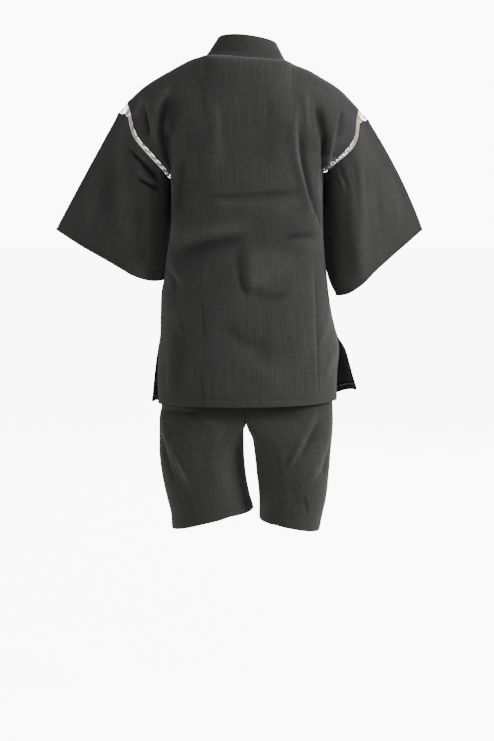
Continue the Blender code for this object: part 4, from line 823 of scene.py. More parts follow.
def crepe(name, dark=CREPE_DARK, light=CREPE_LIGHT, slub=1.0):
    stuff, tree, skin = bare_material(name)
    nodes, links = tree.nodes, tree.links
    cloth = nodes.new("ShaderNodeGroup")
    cloth.node_tree = WEAVE
    cloth.inputs["Slub"].default_value = slub
    cloth.inputs["Fade"].default_value = 1.0
    tone = two_tones(tree, cloth.outputs["Tone"], dark, light, 0.30, 0.72)
    # painted shade: the tone is scaled by the weave's Shade
    shaded = nodes.new("ShaderNodeVectorMath")
    shaded.operation = "SCALE"
    links.new(tone, shaded.inputs["Vector"])
    links.new(cloth.outputs["Shade"], shaded.inputs["Scale"])
    links.new(shaded.outputs["Vector"], skin["Base Color"])
    raised(tree, skin, cloth.outputs["Height"], 0.5, 0.00035)
    skin["Roughness"].default_value = 0.88
    skin["Specular IOR Level"].default_value = 0.25
    skin["Sheen Weight"].default_value = 0.10
    skin["Sheen Roughness"].default_value = 0.5
    stuff.diffuse_color = (*light, 1.0)
    return stuff


def plied_cotton(name, shade, hollow_shade_tone, scale):
    """Cotton cord or thread: paler where its grain bump is high, painted darker where it is low, painted
    shade in the hollows between plies.
    """
    stuff, tree, skin = bare_material(name)
    place = tree.nodes.new("ShaderNodeTexCoord")
    grain = tree.nodes.new("ShaderNodeTexNoise")
    grain.inputs["Scale"].default_value = scale
    grain.inputs["Detail"].default_value = 3.0
    tree.links.new(place.outputs["Object"], grain.inputs["Vector"])
    # painted shade: the low places of the grain's bump get the darker tone
    tree.links.new(two_tones(tree, grain.outputs["Fac"], hollow_shade_tone, shade, 0.32, 0.66), skin["Base Color"])
    raised(tree, skin, grain.outputs["Fac"], 0.4, 0.0002)
    skin["Roughness"].default_value = 0.8
    skin["Sheen Weight"].default_value = 0.15
    stuff.diffuse_color = (*shade, 1.0)
    return stuff


JACKET = crepe("jacket_crepe")
SLEEVE = crepe("sleeve_crepe", slub=0.8)
COLLAR = crepe("collar_crepe", dark=(0.0170, 0.0170, 0.0165), slub=0.8)
SHORTS_CLOTH = crepe("shorts_crepe", (0.0155, 0.0155, 0.0150), (0.0290, 0.0290, 0.0280), slub=0.9)
TIE_CLOTH = crepe("tie_crepe", slub=0.7)
THREAD_STUFF = plied_cotton("charcoal_thread", (0.025, 0.025, 0.0245), (0.015, 0.015, 0.015), 900.0)
PALE_THREAD = plied_cotton("pale_thread", (0.38, 0.38, 0.37), (0.24, 0.24, 0.23), 900.0)
LACE_STUFF = plied_cotton("lace_cotton", (0.62, 0.59, 0.50), (0.44, 0.41, 0.33), 700.0)


# ---------------------------------------------------------------- sewing
def stitches(bm, path, outs):
    """Stitches half sunk into the cloth along a path."""
    lengths = path_lengths(path)
    at = STITCH_PITCH / 2
    while at < lengths[-1] - STITCH_PITCH / 2:
        start, middle, end = (path_at(at + d, lengths, path) for d in (-STITCH / 2, 0.0, STITCH / 2))
        along = units(end - start)
        out = units(path_at(at, lengths, outs))
        side = units(np.cross(out, along))
        thick = THREAD * STITCH_PLUMP
        turn = Matrix((Vector(along) * STITCH, Vector(side) * thick, Vector(out) * thick)).transposed()
        place = Matrix.Translation(Vector(middle + out * THREAD * STITCH_PROUD)) @ turn.to_4x4()
        bmesh.ops.create_cube(bm, size=1.0, matrix=place)
        at += STITCH_PITCH


def stitching(name, rows_of_stitches, thread):
    bm = bmesh.new()
    for path, outs in rows_of_stitches:
        stitches(bm, path, outs)
    shut(name, bm, thread)


def shut(name, bm, material):
    """A closed piece, with its faces turned outwards."""
    bmesh.ops.recalc_face_normals(bm, faces=bm.faces)
    return thing_of(name, bm, material)


HEM_PROUD, HEM_PROUD_PAST, HEM_PROUD_FADE = 0.0005, 0.001, 0.003
STITCH_DRAW, STITCH_DRAW_WIDTH = 0.0007, 0.0016
HEM_EDGE = 0.0015        # way over which the turned-up cloth ends above its stitches
SEAM_DRAW = 0.0006       # depth to which the cloth is drawn in along a seam


def groove(distance, depth, width):
    return depth * np.exp(-(distance / width) ** 2)


def hem_relief(distance, stitched):
    """Turned-up hem: a little proud below its stitches, drawn in along them."""
    proud = HEM_PROUD * smooth((stitched + HEM_PROUD_PAST - distance) / HEM_PROUD_FADE)
    return proud - groove(distance - stitched, STITCH_DRAW, STITCH_DRAW_WIDTH)


def hem_wall(distance, depth):
    single = CLOTH / HEM_WALL
    return single + (1 - single) * smooth((depth + HEM_EDGE - distance) / HEM_EDGE)


def edge_rows(first, last, near, count, fine):
    """Rows from an edge on: close together within the hem, then evenly."""
    hem = np.linspace(first, first + (last - first) * near, fine, endpoint=False)
    return np.concatenate((hem, np.linspace(first + (last - first) * near, last, count)))


# ---------------------------------------------------------------- jacket body
BACK_COLUMNS, FRONT_COLUMNS, LAP_COLUMNS = 150, 92, 22
BACK_SPREAD, FRONT_SPREAD = 1.25, 0.9
BODY_ROWS = 176
HEM_ROWS = 16
HEM_SHARE = 0.034        # share of the lower height that the close rows of the hem take
LOW_HEIGHT, HIGH_HEIGHT = 0.495, 0.240
EDGE_CALM = 0.045        # share of a panel's width, and rows below the shoulder, without creases
TOP_CALM = 1.2


def body_rows(count):
    """Rows of the body: close together in the hem, and evenly by height above it."""
    whole = LOW_HEIGHT + HIGH_HEIGHT
    low = edge_rows(0.0, 1.0, HEM_SHARE, round(count * LOW_HEIGHT / whole), HEM_ROWS)
    low = np.interp(low, LOWER_ROWS, np.arange(LOW_TOP + 1))
    high = LOW_TOP + ARM_STEPS * np.linspace(0, 1, round(count * HIGH_HEIGHT / whole))[1:]
    return np.concatenate((low, high))


def distances(spots, axis, from_end=False):
    steps = np.linalg.norm(np.diff(spots, axis=axis), axis=-1)
    zero = np.zeros((1, steps.shape[1])) if axis == 0 else np.zeros((steps.shape[0], 1))
    total = np.concatenate((zero, np.cumsum(steps, axis=axis)), axis=axis)
    if not from_end:
        return total
    return (total[-1:] if axis == 0 else total[:, -1:]) - total


UNDERARM_ROWS, UNDERARM_EDGE, UNDERARM_TIMES = 2.2, 0.05, 70


def underarm_ease(spots, rows, f):
    """Where the form changes at the underarm the cloth passes softly, except along its own edges."""
    near = groove(rows - LOW_TOP, 1.0, UNDERARM_ROWS)[:, None]
    inside = smooth((1 - np.abs(f)) / UNDERARM_EDGE)
    return settle(spots, UNDERARM_TIMES, near * inside)


BACK_CLOTH = "back"
# broad patches of painted light and painted shade, where the cloth's colour is made paler or darker for how
# the light falls on it: x, z, half width, half height, amount
LIGHT_AND_SHADE_PATCHES = {
    BACK_CLOTH: ((-0.092, -0.392, 0.046, 0.062, -0.0030), (-0.172, -0.660, 0.022, 0.085, 0.0030),
             (0.078, -0.655, 0.045, 0.065, 0.0004)),
    LEFT: ((0.290, -0.300, 0.070, 0.080, -0.0014),),
    RIGHT: ((-0.205, -0.345, 0.032, 0.080, 0.0040),),
}


def painted_light_and_shade(places, x, z):
    return sum(amount * np.exp(-((x - x0) / wide) ** 2 - ((z - z0) / high) ** 2)
               for x0, z0, wide, high, amount in places)


def make_back():
    rows = body_rows(BODY_ROWS)
    spread = np.linspace(-1, 1, BACK_COLUMNS + 1)
    f = np.sign(spread) * (1 - (1 - np.abs(spread)) ** BACK_SPREAD)
    spots = body_form(BACK, f[None, :], rows[:, None])
    spots[..., 1] += SEAM / 2
    spots = underarm_ease(spots, rows, f[None, :])
    out = outwards(spots)
    inside = smooth((1 - np.abs(f[None, :])) / EDGE_CALM) * smooth((BODY_TOP - rows[:, None]) / TOP_CALM)
    folds = relief(BACK_CREASES, spots[..., 0], spots[..., 2]) * inside
    lift = folds + cockle(spots, 1) * inside
    below = distances(spots, 0)
    left, right = distances(spots, 1, True), distances(spots, 1)
    slit = rows[:, None] < SLIT_ROW
    side = np.minimum(left, right)
    lift += hem_relief(below, BODY_HEM) + np.where(slit, hem_relief(side, SLIT_HEM), 0.0)
    lift -= np.where(slit, 0.0, groove(side, SEAM_DRAW, 0.0025))
    worn = spots + out * lift[..., None]
    hem = np.maximum(hem_wall(below, BODY_HEM), np.where(slit, hem_wall(side, SLIT_HEM), 0.0))
    # painted light and shade in broad patches, added to the fold attribute only
    folds = folds + painted_light_and_shade(LIGHT_AND_SHADE_PATCHES[BACK_CLOTH], spots[..., 0], spots[..., 2])
    panel = sew("back_cloth", worn, JACKET, HEM_WALL, hem=hem, folds=folds)
    return panel, worn, out, rows, f


def front_grid(hand):
    """Places of a front: side seam to collar seam, and on to the free edge in the lowest rows."""
    rows = body_rows(BODY_ROWS)
    level = level_of(rows)
    seam, free = FRONT_EDGE.at("seam", level), FRONT_EDGE.at("free", level)
    share = NECK_F + (1 - NECK_F) * (1 - np.linspace(0, 1, FRONT_COLUMNS)) ** FRONT_SPREAD
    plain = 1 - (1 - seam[:, None]) * (1 - share[None, :]) / (1 - NECK_F)
    reach = np.linspace(0, 1, LAP_COLUMNS)[1:]
    on = seam[:, None] + (free - seam)[:, None] * reach[None, :]
    return rows, hand * np.concatenate((plain, on), axis=1), len(share) - 1


# how the edge of a front passes under the back's in the shoulder seam
SHOULDER_REACH, SHOULDER_DIP, SHOULDER_ROWS = 0.0008, 0.0022, 0.12
# how far the right front's hem hangs down beside its slit: amount, then where it starts, ends and fades
FLAP_DROP = 0.0085
FLAP_OUTER, FLAP_OUTER_FADE = 0.232, 0.045
FLAP_INNER, FLAP_INNER_FADE = -0.090, 0.060
FLAP_HEIGHT = 0.10
LOOSE_WAY = 0.030        # way from the collar's seam over which creases fade in


def make_front(hand, name):
    rows, f, last = front_grid(hand)
    spots = body_form(FRONT, f, rows[:, None])
    spots[..., 1] -= SEAM / 2
    spots = underarm_ease(spots, rows, np.abs(f))
    out = outwards(spots)
    inside = smooth((1 - np.abs(f)) / EDGE_CALM) * smooth((BODY_TOP - rows[:, None]) / TOP_CALM)
    below, side = distances(spots, 0), distances(spots, 1)
    free = distances(spots, 1, True)
    inside = inside * smooth(np.abs(side - side[:, last:last + 1]) / LOOSE_WAY)
    folds = relief(FRONT_CREASES, spots[..., 0], spots[..., 2]) * inside
    lift = folds + cockle(spots, 2 + hand) * inside
    slit, loose = rows[:, None] < SLIT_ROW, rows[:, None] <= COLLAR_END_ROW
    lift += hem_relief(below, BODY_HEM) + np.where(slit, hem_relief(side, SLIT_HEM), 0.0)
    lift += np.where(loose, hem_relief(free, BODY_HEM), 0.0)
    worn = spots + out * lift[..., None]
    if hand == LEFT:
        worn[..., 1] -= lap_lift(spots[..., 0], spots[..., 2])
    else:
        sunk = smooth((worn[..., 0] + FLAP_OUTER) / FLAP_OUTER_FADE)
        sunk = sunk * smooth((FLAP_INNER - worn[..., 0]) / FLAP_INNER_FADE)
        worn[..., 2] -= FLAP_DROP * sunk * smooth(1 - below / FLAP_HEIGHT)
    under = groove(BODY_TOP - rows[:, None], 1.0, SHOULDER_ROWS) * (np.abs(f) >= NECK_F)
    worn += np.stack((0.0 * under, SHOULDER_REACH * under, -SHOULDER_DIP * under), axis=-1)
    hem = np.maximum(hem_wall(below, BODY_HEM), np.where(slit, hem_wall(side, SLIT_HEM), 0.0))
    hem = np.maximum(hem, np.where(loose, hem_wall(free, BODY_HEM), 0.0))
    end_row = int(np.argmin(np.abs(rows - COLLAR_END_ROW)))
    panel = sew(name, worn, JACKET, HEM_WALL, dropped=lambda i, j: i > end_row and j > last, hem=hem,
                folds=folds)
    return panel, worn, out, rows, last, end_row


# every panel with its places, outward directions and rows
panels = {BACK_CLOTH: make_back()}
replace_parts(panels[BACK_CLOTH][0], "jacket_back")
for hand, word in HANDS:
    panels["front", hand] = make_front(hand, "front_" + word + "_cloth")
    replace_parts(panels["front", hand][0], "jacket_front_" + word)


# ---------------------------------------------------------------- sleeves
RING_PLACES = 177        # round a sleeve or a leg, the last on the first
RING_ROWS = 66
CUFF_SHARE, CUFF_ROWS = 0.045, 9
HIDDEN_SIDE = 0.7        # height of the creases away from the back


def make_sleeve(hand, name):
    columns = np.linspace(0, 2 * ARM_STEPS, RING_PLACES)
    t = edge_rows(1.0, 0.0, CUFF_SHARE, RING_ROWS, CUFF_ROWS)[::-1]
    spots = sleeve_form(hand, columns[None, :], t[:, None])
    fold = np.minimum(np.abs(columns - ARM_STEPS), 2.0)[None, :]
    soft = smooth(t[:, None] / 0.06) * smooth((fold - 0.15) / 1.2)
    spots = settle(spots, 8, soft, ring=True)
    out = outwards(spots, ring=True)
    face = np.where(columns <= ARM_STEPS, 1.0, HIDDEN_SIDE)[None, :]
    away = np.minimum(np.abs(columns % ARM_STEPS), ARM_STEPS - columns % ARM_STEPS)[None, :]
    inside = smooth(away / 1.2) * smooth(t[:, None] / 0.07)
    folds = relief(SLEEVE_CREASES[hand], spots[..., 0], spots[..., 2]) * face * inside
    lift = folds + cockle(spots, 7 + hand) * inside
    cuff = distances(spots, 0, True)
    lift += hem_relief(cuff, CUFF_HEM)
    lift -= groove(distances(spots, 0), SEAM_DRAW, 0.003)
    worn = spots + out * lift[..., None]
    worn[:, -1] = worn[:, 0]
    # painted light and shade in broad patches, added to the fold attribute only
    folds = folds + painted_light_and_shade(LIGHT_AND_SHADE_PATCHES[hand], spots[..., 0], spots[..., 2])
    panel = sew(name, worn, SLEEVE, HEM_WALL, hem=hem_wall(cuff, CUFF_HEM), ring=True, folds=folds)
    return panel, worn, out, columns, t


for hand, word in HANDS:
    panels["sleeve", hand] = make_sleeve(hand, "sleeve_" + word + "_cloth")
    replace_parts(panels["sleeve", hand][0], "sleeve_" + word)


# ---------------------------------------------------------------- shorts
# the legs' seam and the cloth beside it lie a little askew between them, down to just under the crotch
CENTRE_TURN, CENTRE_REACH, CENTRE_LOW, CENTRE_FADE = 0.035, 0.016, -0.835, 0.065
# painted shadow: the cloth that lies close under the jacket's hem is painted darker, for the shadow the
# jacket casts on it
SHADE_LOW, SHADE_FADE, HEM_SHADE = -0.800, 0.035, 0.0042
SHADE_SIDE, SHADE_SIDE_FADE = 0.150, 0.05
LEG_HEM_SHARE, LEG_HEM_ROWS, HIP_ROWS = 0.075, 13, 56


def make_leg(hand, name):
    ring = LEG_OUTER + LEG_INNER
    columns = np.linspace(0, ring, RING_PLACES)
    below = 1 + edge_rows(1.0, 0.0, LEG_HEM_SHARE, RING_ROWS, LEG_HEM_ROWS)
    above = np.linspace(CROTCH_Z, WAIST_Z, HIP_ROWS)[1:]
    levels = np.concatenate((below, above))
    held = np.where(levels[:, None] > 0, columns[None, :], np.minimum(columns, LEG_OUTER)[None, :])
    spots = leg_form(hand, held, levels[:, None])
    whole = levels[:, None] > 0
    share = np.where(whole, levels[:, None] - 1, 0.0)
    spots = settle(spots, 10, smooth((share - 0.12) / 0.2) * np.ones((1, len(columns))), ring=True)
    out = outwards(spots, ring=True)
    centre = np.minimum(np.abs(columns), np.abs(columns - LEG_OUTER))[None, :]
    inside = np.where(columns[None, :] > LEG_OUTER, 0.0, smooth(centre / 1.2))
    face = np.where(spots[..., 1] > 0, 1.0, HIDDEN_SIDE)
    folds = relief(LEG_CREASES[hand], spots[..., 0], spots[..., 2]) * inside * face
    lift = folds + cockle(spots, 11 + hand) * inside
    hem = distances(spots, 0)
    lift += hem_relief(hem, LEG_HEM_DEEP) * smooth((share - 0.3) / 0.1)
    outer = int(round(LEG_OUTER / ring * (RING_PLACES - 1)))
    worn = spots + out * lift[..., None]
    centred = groove(worn[..., 0], 1.0, CENTRE_REACH) * smooth((worn[..., 2] - CENTRE_LOW) / CENTRE_FADE)
    worn[..., 0] += CENTRE_TURN * worn[..., 1] * centred
    worn[:, -1] = worn[:, 0]
    # painted shadow under the jacket's hem, taken into the fold attribute
    hem_shadow_mask = smooth((worn[..., 2] - SHADE_LOW) / SHADE_FADE)
    hem_shadow_mask *= smooth((SHADE_SIDE - np.abs(worn[..., 0])) / SHADE_SIDE_FADE)
    shaded = folds - HEM_SHADE * hem_shadow_mask * (worn[..., 1] > 0)
    split = len(below) - 1
    panel = sew(name, worn, SHORTS_CLOTH, HEM_WALL, dropped=lambda i, j: i > split and j > outer,
                hem=hem_wall(hem, LEG_HEM_DEEP), ring=True, folds=shaded)
    return panel, worn, out, columns, levels


for hand, word in HANDS:
    panels["leg", hand] = make_leg(hand, "leg_" + word + "_cloth")
    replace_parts(panels["leg", hand][0], "shorts_leg_" + word)


# ---------------------------------------------------------------- collar
COLLAR_STATIONS = 90     # along each front
COLLAR_LINES = 22        # across the band
COLLAR_TOP_GAP = 0.45    # in rows, between the last station of a front and the nape
NAPE = 0
BAND_SWELL, BAND_RIPPLE = 0.0006, 0.0005
BAND_GROOVE, BAND_GROOVE_WIDTH = 0.0035, 0.0012


def make_collar():
    """One band: up the right front, round the neck and down the left front."""
    _, back_worn, back_out, _, back_f = panels[BACK_CLOTH]
    rows = np.linspace(COLLAR_END_ROW, BODY_TOP - COLLAR_TOP_GAP, COLLAR_STATIONS)
    kinds, values, edges, outs = [], [], [], []
    for kind in (RIGHT, LEFT):
        _, worn, out, front_rows, last, _ = panels["front", kind]
        edge = path_at(rows, front_rows, worn[:, last])
        away = units(path_at(rows, front_rows, out[:, last]))
        order = slice(None) if kind == RIGHT else slice(None, None, -1)
        piece = (np.full(len(rows), kind), rows[order], edge[order], away[order])
        if kind == LEFT:
            near = np.abs(back_f) <= NECK_F
            nape = (np.full(near.sum(), NAPE), back_f[near], back_worn[-1, near], back_out[-1, near])
            for held, part in zip((kinds, values, edges, outs), nape):
                held.append(part)
        for held, part in zip((kinds, values, edges, outs), piece):
            held.append(part)
    kinds, values = np.concatenate(kinds), np.concatenate(values)
    edges, outs = np.concatenate(edges), np.concatenate(outs)
    outs = units(settle(outs[:, None].repeat(3, axis=1), 12, np.ones((len(outs), 3)))[:, 1])
    along = units(np.gradient(edges, axis=0))
    inward = units(np.cross(along, outs))
    level = level_of(values)
    seam, free = FRONT_EDGE.at("seam", level), FRONT_EDGE.at("free", level)
    widths = SEAM + (COLLAR_WIDTH - SEAM) * np.linspace(0, 1, COLLAR_LINES)
    band = np.zeros((len(kinds), COLLAR_LINES, 3))
    for k, kind in enumerate(kinds):
        if kind == NAPE:
            share = values[k] / NECK_F
            side = LEFT if share > 0 else RIGHT
            fall = NAPE_RISE[0] + (NAPE_FALL[side] - NAPE_RISE[0]) * abs(share)
            slant, stand = units(np.array((NAPE_SLANT[side] * share, fall, NAPE_RISE[1]))), 1.0
        else:
            stand = smooth((values[k] - BODY_TOP + COLLAR_RISE_ROWS) / COLLAR_RISE_ROWS)
            slant = units(np.array((FRONT_SLANT[0] * kind, *FRONT_SLANT[1:])))
        for c, width in enumerate(widths):
            way = units(inward[k] + (slant - inward[k]) * smooth(width / (COLLAR_BEND * COLLAR_TURN)))
            first = min(width, COLLAR_TURN)
            turning = units(inward[k] + slant * smooth(first / (COLLAR_BEND * COLLAR_TURN)))
            risen = edges[k] + turning * first + way * max(0.0, width - COLLAR_TURN)
            if stand < 1.0:
                part = seam[k] + (free[k] - seam[k]) * width / COLLAR_WIDTH
                flat = body_form(FRONT, kind * part, values[k]) + np.array((0.0, -SEAM / 2, 0.0))
                if kind == LEFT:
                    flat[1] -= lap_lift(flat[0], flat[2])
                risen = flat + (risen - flat) * stand
            band[k, c] = risen
    held = np.ones(band.shape[:2])
    held[:, 0] = 0.15
    band = settle(band, 26, held)
    out = outwards(band)
    run = run_lengths(band, 0)
    over = np.linspace(0, 1, COLLAR_LINES)[None, :]
    lift = BAND_PROUD + BAND_SWELL * np.sin(np.pi * over)
    lift = lift + BAND_RIPPLE * np.sin(run / 0.013 + 2.0 * np.sin(run / 0.07))[:, None] * over
    drawn = groove(widths[None, :] - BAND_GROOVE, SEAM_DRAW, BAND_GROOVE_WIDTH)
    worn = band + out * (lift - drawn)[..., None]
    panel = sew("collar_cloth", worn, COLLAR, BAND)
    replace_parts(panel, "collar")
    return worn, out


collar_worn, collar_out = make_collar()


# ---------------------------------------------------------------- waistband
def make_waistband():
    half, back, front = (float(SHORTS.at(name, WAIST_Z)) for name in ("out_left", "back", "front"))
    angle = np.linspace(0, 2 * np.pi, GATHERS * 12 + 1)[None, :]
    height = np.linspace(SEAM, WAISTBAND_HEIGHT, 20)[:, None]
    pull = 1 - WAIST_PULL * np.sin(np.pi * height / WAISTBAND_HEIGHT)
    x = half * power(np.cos(angle), HIP_SQUARE) * pull
    y = power(np.sin(angle), HIP_ROUND) * pull
    y = y * np.where(y > 0, back, front)
    spots = np.stack((x, y, WAIST_Z + height * np.ones(angle.shape)), axis=-1)
    out = units(np.stack((np.cos(angle) / half, np.sin(angle) / back, 0.0 * angle), axis=-1))
    uneven = 1 + 0.35 * np.sin(angle * 3.0 + 1.0) + 0.2 * np.sin(angle * 7.0)
    ripple = GATHER_DEPTH * np.sin(GATHERS * angle + 0.8 * np.sin(4 * angle)) * uneven
    sewn = sum(groove(height - WAISTBAND_HEIGHT / part, 1.0, 0.0012) for part in (3, 1.5))
    worn = spots + out * (ripple - SEAM_DRAW * sewn)[..., None]
    worn[:, -1] = worn[:, 0]
    panel = sew("waistband_cloth", worn, SHORTS_CLOTH, WAISTBAND_WALL, ring=True)
    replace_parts(panel, "shorts_waistband")


make_waistband()


# ---------------------------------------------------------------- ties and bow
def front_place(x, z):
    """Point and outward direction of the right front's form at a place."""
    f, row = BOW_F, float(BODY_TOP) / 2
    for _ in range(8):
        low, high = 0.0, float(BODY_TOP)
        for _ in range(26):
            row = (low + high) / 2
            if body_form(FRONT, f, row)[2] < z:
                low = row
            else:
                high = row
        f = max(-0.995, float(f * x / body_form(FRONT, f, row)[0]))
    return front_off(f, row)


def front_off(f, row):
    e, g = 0.01, 0.05
    across = body_form(FRONT, f + e, row) - body_form(FRONT, f - e, row)
    up = body_form(FRONT, f, row + g) - body_form(FRONT, f, row - g)
    return body_form(FRONT, f, row), units(np.cross(across, up))


def row_at(f, z):
    rows = np.linspace(0, BODY_TOP, 800)
    return float(np.interp(z, body_form(FRONT, f, rows)[:, 2], rows))


def ribbon(name, path, sides, outs, widths, ring=False):
    """A flat tie along a path, a little crowned and turned in at its edges."""
    across = np.linspace(-0.5, 0.5, 11)
    crown = 0.0004 * np.cos(np.pi * across) - 0.0003 * np.abs(2 * across) ** 6
    spots = (path[:, None] + sides[:, None] * (widths[:, None] * across[None, :])[..., None]
             + outs[:, None] * (TIE_WALL / 2 + crown)[None, :, None])
    if ring:
        spots = spots.transpose(1, 0, 2)
        spots[:, -1] = spots[:, 0]
    panel = sew(name + "_cloth", spots, TIE_CLOTH, TIE_WALL, ring=ring)
    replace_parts(panel, name)


def eased(points, count):
    """A finer path through the points of a tie."""
    points = np.array(points)
    at = np.linspace(0, len(points) - 1, count)
    return np.stack([Table(("at", "v"), [(k, p[axis]) for k, p in enumerate(points)]).at("v", at)
                     for axis in range(3)], axis=-1)


def make_ties():
    row = row_at(BOW_F, BOW_LEVEL)
    middle, out = front_off(BOW_F, row)
    right = units(np.cross(out, np.array((0.0, 0.0, 1.0))))
    right = -right if right[0] > 0 else right
    up = units(np.cross(right, out))
    up = -up if up[2] < 0 else up
    centre = middle + out * BOW_OUT
    size = np.array(KNOT) / 2

    knot = bmesh.new()
    bmesh.ops.create_uvsphere(knot, u_segments=40, v_segments=28, radius=1.0)
    for vert in knot.verts:
        a, b, c = (math.copysign(abs(v) ** 0.72, v) for v in vert.co)
        fold = 1 - 0.05 * math.cos(9.0 * (b + 0.35 * a)) * (1 - 0.6 * abs(c))
        spot = centre + (right * a * size[0] + up * b * size[2]) * fold * 0.96 + out * c * size[1] * 0.96
        vert.co = Vector(spot)
    uv = knot.loops.layers.uv.new("cut")
    for face in knot.faces:
        for loop in face.loops:
            reach = loop.vert.co - Vector(centre)
            loop[uv].uv = (reach.dot(Vector(right)), reach.dot(Vector(up)))
    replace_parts(shut("bow_knot_cloth", knot, TIE_CLOTH), "bow_knot")

    start = size[0] * KNOT_CLEAR + SEAM + TIE_WALL / 2
    for name, turn, lift in (("bow_loop_outer", 1, 0.10), ("bow_loop_inner", -1, 0.18)):
        way = units(right * turn + up * lift)
        angle = np.linspace(0, 2 * np.pi, 73)[:, None]
        reach = (1 - np.cos(angle)) / 2
        rise = out * LOOP_RISE * np.sin(angle) * (0.55 + 0.45 * reach)
        path = centre + way * (start + LOOP_LENGTH * reach) + rise
        sides = units(np.cross(out, way)) * np.ones((73, 1))
        outs = units(-way * np.cos(angle) * LOOP_RISE * 2.2 + out * np.sin(angle) * LOOP_LENGTH * 0.5)
        widths = TIE_WIDTH * (0.62 + 0.45 * smooth(reach[:, 0] * 1.6))
        ribbon(name, path, sides, outs, widths, ring=True)

    for name, lean, turn, beside in (
            ("bow_tail_outer", 0.30, 1.0, 0.0047), ("bow_tail_inner", -0.05, 0.86, -0.0047)):
        spots, tops, widths = [], [], []
        for t in np.linspace(0, 1, 9):
            length = TAIL_LENGTH * turn * t
            spot = middle - up * (size[2] + 2 * SEAM + length) + right * (beside + lean * length)
            clear = TAIL_CLEAR + TIE_WALL / 2 + TAIL_RISE * (1 - float(smooth(t / 0.5)))
            ground, away = front_place(spot[0], spot[2])
            spots.append(ground + away * clear)
            tops.append(away)
            widths.append(TIE_WIDTH * (0.54 + 0.46 * float(smooth(t / 0.5))))
        path, tops = eased(spots, 41), units(eased(tops, 41))
        along = units(np.gradient(path, axis=0))
        sides = units(np.cross(along, tops))
        widths = np.interp(np.linspace(0, 8, 41), np.arange(9), widths)
        ribbon(name, path, sides, units(np.cross(sides, along)), widths)

    under = centre - out * (size[1] + SEAM + TIE_WALL / 2)
    edge = body_form(FRONT, float(FRONT_EDGE.at("free", BOW_LEVEL)), row)
    first = edge + np.array((-STRAP_SET, STRAP_SINK - LAP_LIFT, 0.0))
    last = under - right * SEAM
    strap("tie_from_collar", [first + (last - first) * t for t in (0.0, 0.5, 1.0)], up)
    rise = float(np.dot(under - middle, out)) - TIE_CLEAR - TIE_WALL / 2
    path = []
    for t in (0.0, 0.25, 0.5, 0.75):
        spot, away = front_off(SIDE_TIE_F + (BOW_F - SIDE_TIE_F) * t, row)
        path.append(spot + away * (TIE_CLEAR + TIE_WALL / 2 + rise * t * t))
    path.append(under + right * SEAM)
    strap("tie_from_side", path, up)


def strap(name, points, up):
    path = eased(points, 33)
    along = units(np.gradient(path, axis=0))
    outs = units(np.cross(along, up))
    outs = np.where(outs[:, 1:2] < 0, outs, -outs)
    narrowing = (0.0, 1 - 1 / (len(points) - 1), 1.0)
    widths = np.interp(np.linspace(0, 1, 33), narrowing, (TIE_WIDTH, TIE_WIDTH, TIE_WIDTH * 0.7))
    ribbon(name, path, up[None, :] * np.ones((33, 1)), outs, widths)


make_ties()


# ---------------------------------------------------------------- lace
EDGE_CORD = 0.00080      # half thickness of the twisted cord along each edge
CROSS_CORD = 0.00080
FINE_CORD = 0.00028
NET_CORD = 0.00050
LACE_GAP = 0.0017        # middle of an edge cord, beyond the edge of the cloth
TWIST = 0.0042           # length of one turn of the plies
PLY_RELIEF = 0.22
CORD_SIDES = 8
ASKEW = (0.31, 0.2, 0.93)      # a direction that no cord runs in
NET_STEP, NET_REACH = 0.2, 0.32
LACE_SAG = 0.0012
UNDERARM_REACH = 0.0035  # how far up the side the closing cords at the underarm are sewn on


def cord(bm, path, radius, plies=2, points=None):
    """A plied cord along a path, with ends that run out to a point."""
    path = np.array(path)
    lengths = path_lengths(path)
    count = points or max(4, int(lengths[-1] / (TWIST / 4)))
    at = np.linspace(0, lengths[-1], count + 1)
    path = path_at(at, lengths, path)
    along = units(np.gradient(path, axis=0))
    side = units(np.cross(along, np.array(ASKEW)))
    up = np.cross(side, along)
    made = bmesh.ops.create_grid(bm, x_segments=CORD_SIDES, y_segments=count, size=1.0)["verts"]
    for vert in made:
        j, i = round((vert.co.x + 1) / 2 * CORD_SIDES), round((vert.co.y + 1) / 2 * count)
        angle = 2 * math.pi * (j % CORD_SIDES) / CORD_SIDES
        turn = 2 * math.pi * at[i] / TWIST
        ply = 1 + (PLY_RELIEF * math.cos(plies * (angle - turn)) if plies > 1 else 0.0)
        thick = 0.0 if i in (0, count) else radius * ply
        vert.co = Vector(path[i] + (side[i] * math.cos(angle) + up[i] * math.sin(angle)) * thick)
    bmesh.ops.remove_doubles(bm, verts=made, dist=1e-7)


def lace_edges(hand, face):
    """Edge of the body and of the sleeve along one half of the lace, at any step from the shoulder down."""
    _, worn, _, rows, *_ = panels[BACK_CLOTH] if face == BACK else panels["front", hand]
    body = worn[:, -1 if face == BACK and hand == LEFT else 0]
    _, sleeve, _, columns, _ = panels["sleeve", hand]
    steps = BODY_TOP - rows
    order = np.argsort(steps)
    ring_steps = columns if face == BACK else 2 * ARM_STEPS - columns
    ring_order = np.argsort(ring_steps)

    def body_at(step):
        return path_at(step, steps[order], body[order])

    def sleeve_at(step):
        return path_at(step, ring_steps[ring_order], sleeve[0, ring_order])

    return body_at, sleeve_at


def spread_out(a, b, count):
    return [a + (b - a) * t for t in np.linspace(0, 1, count)]


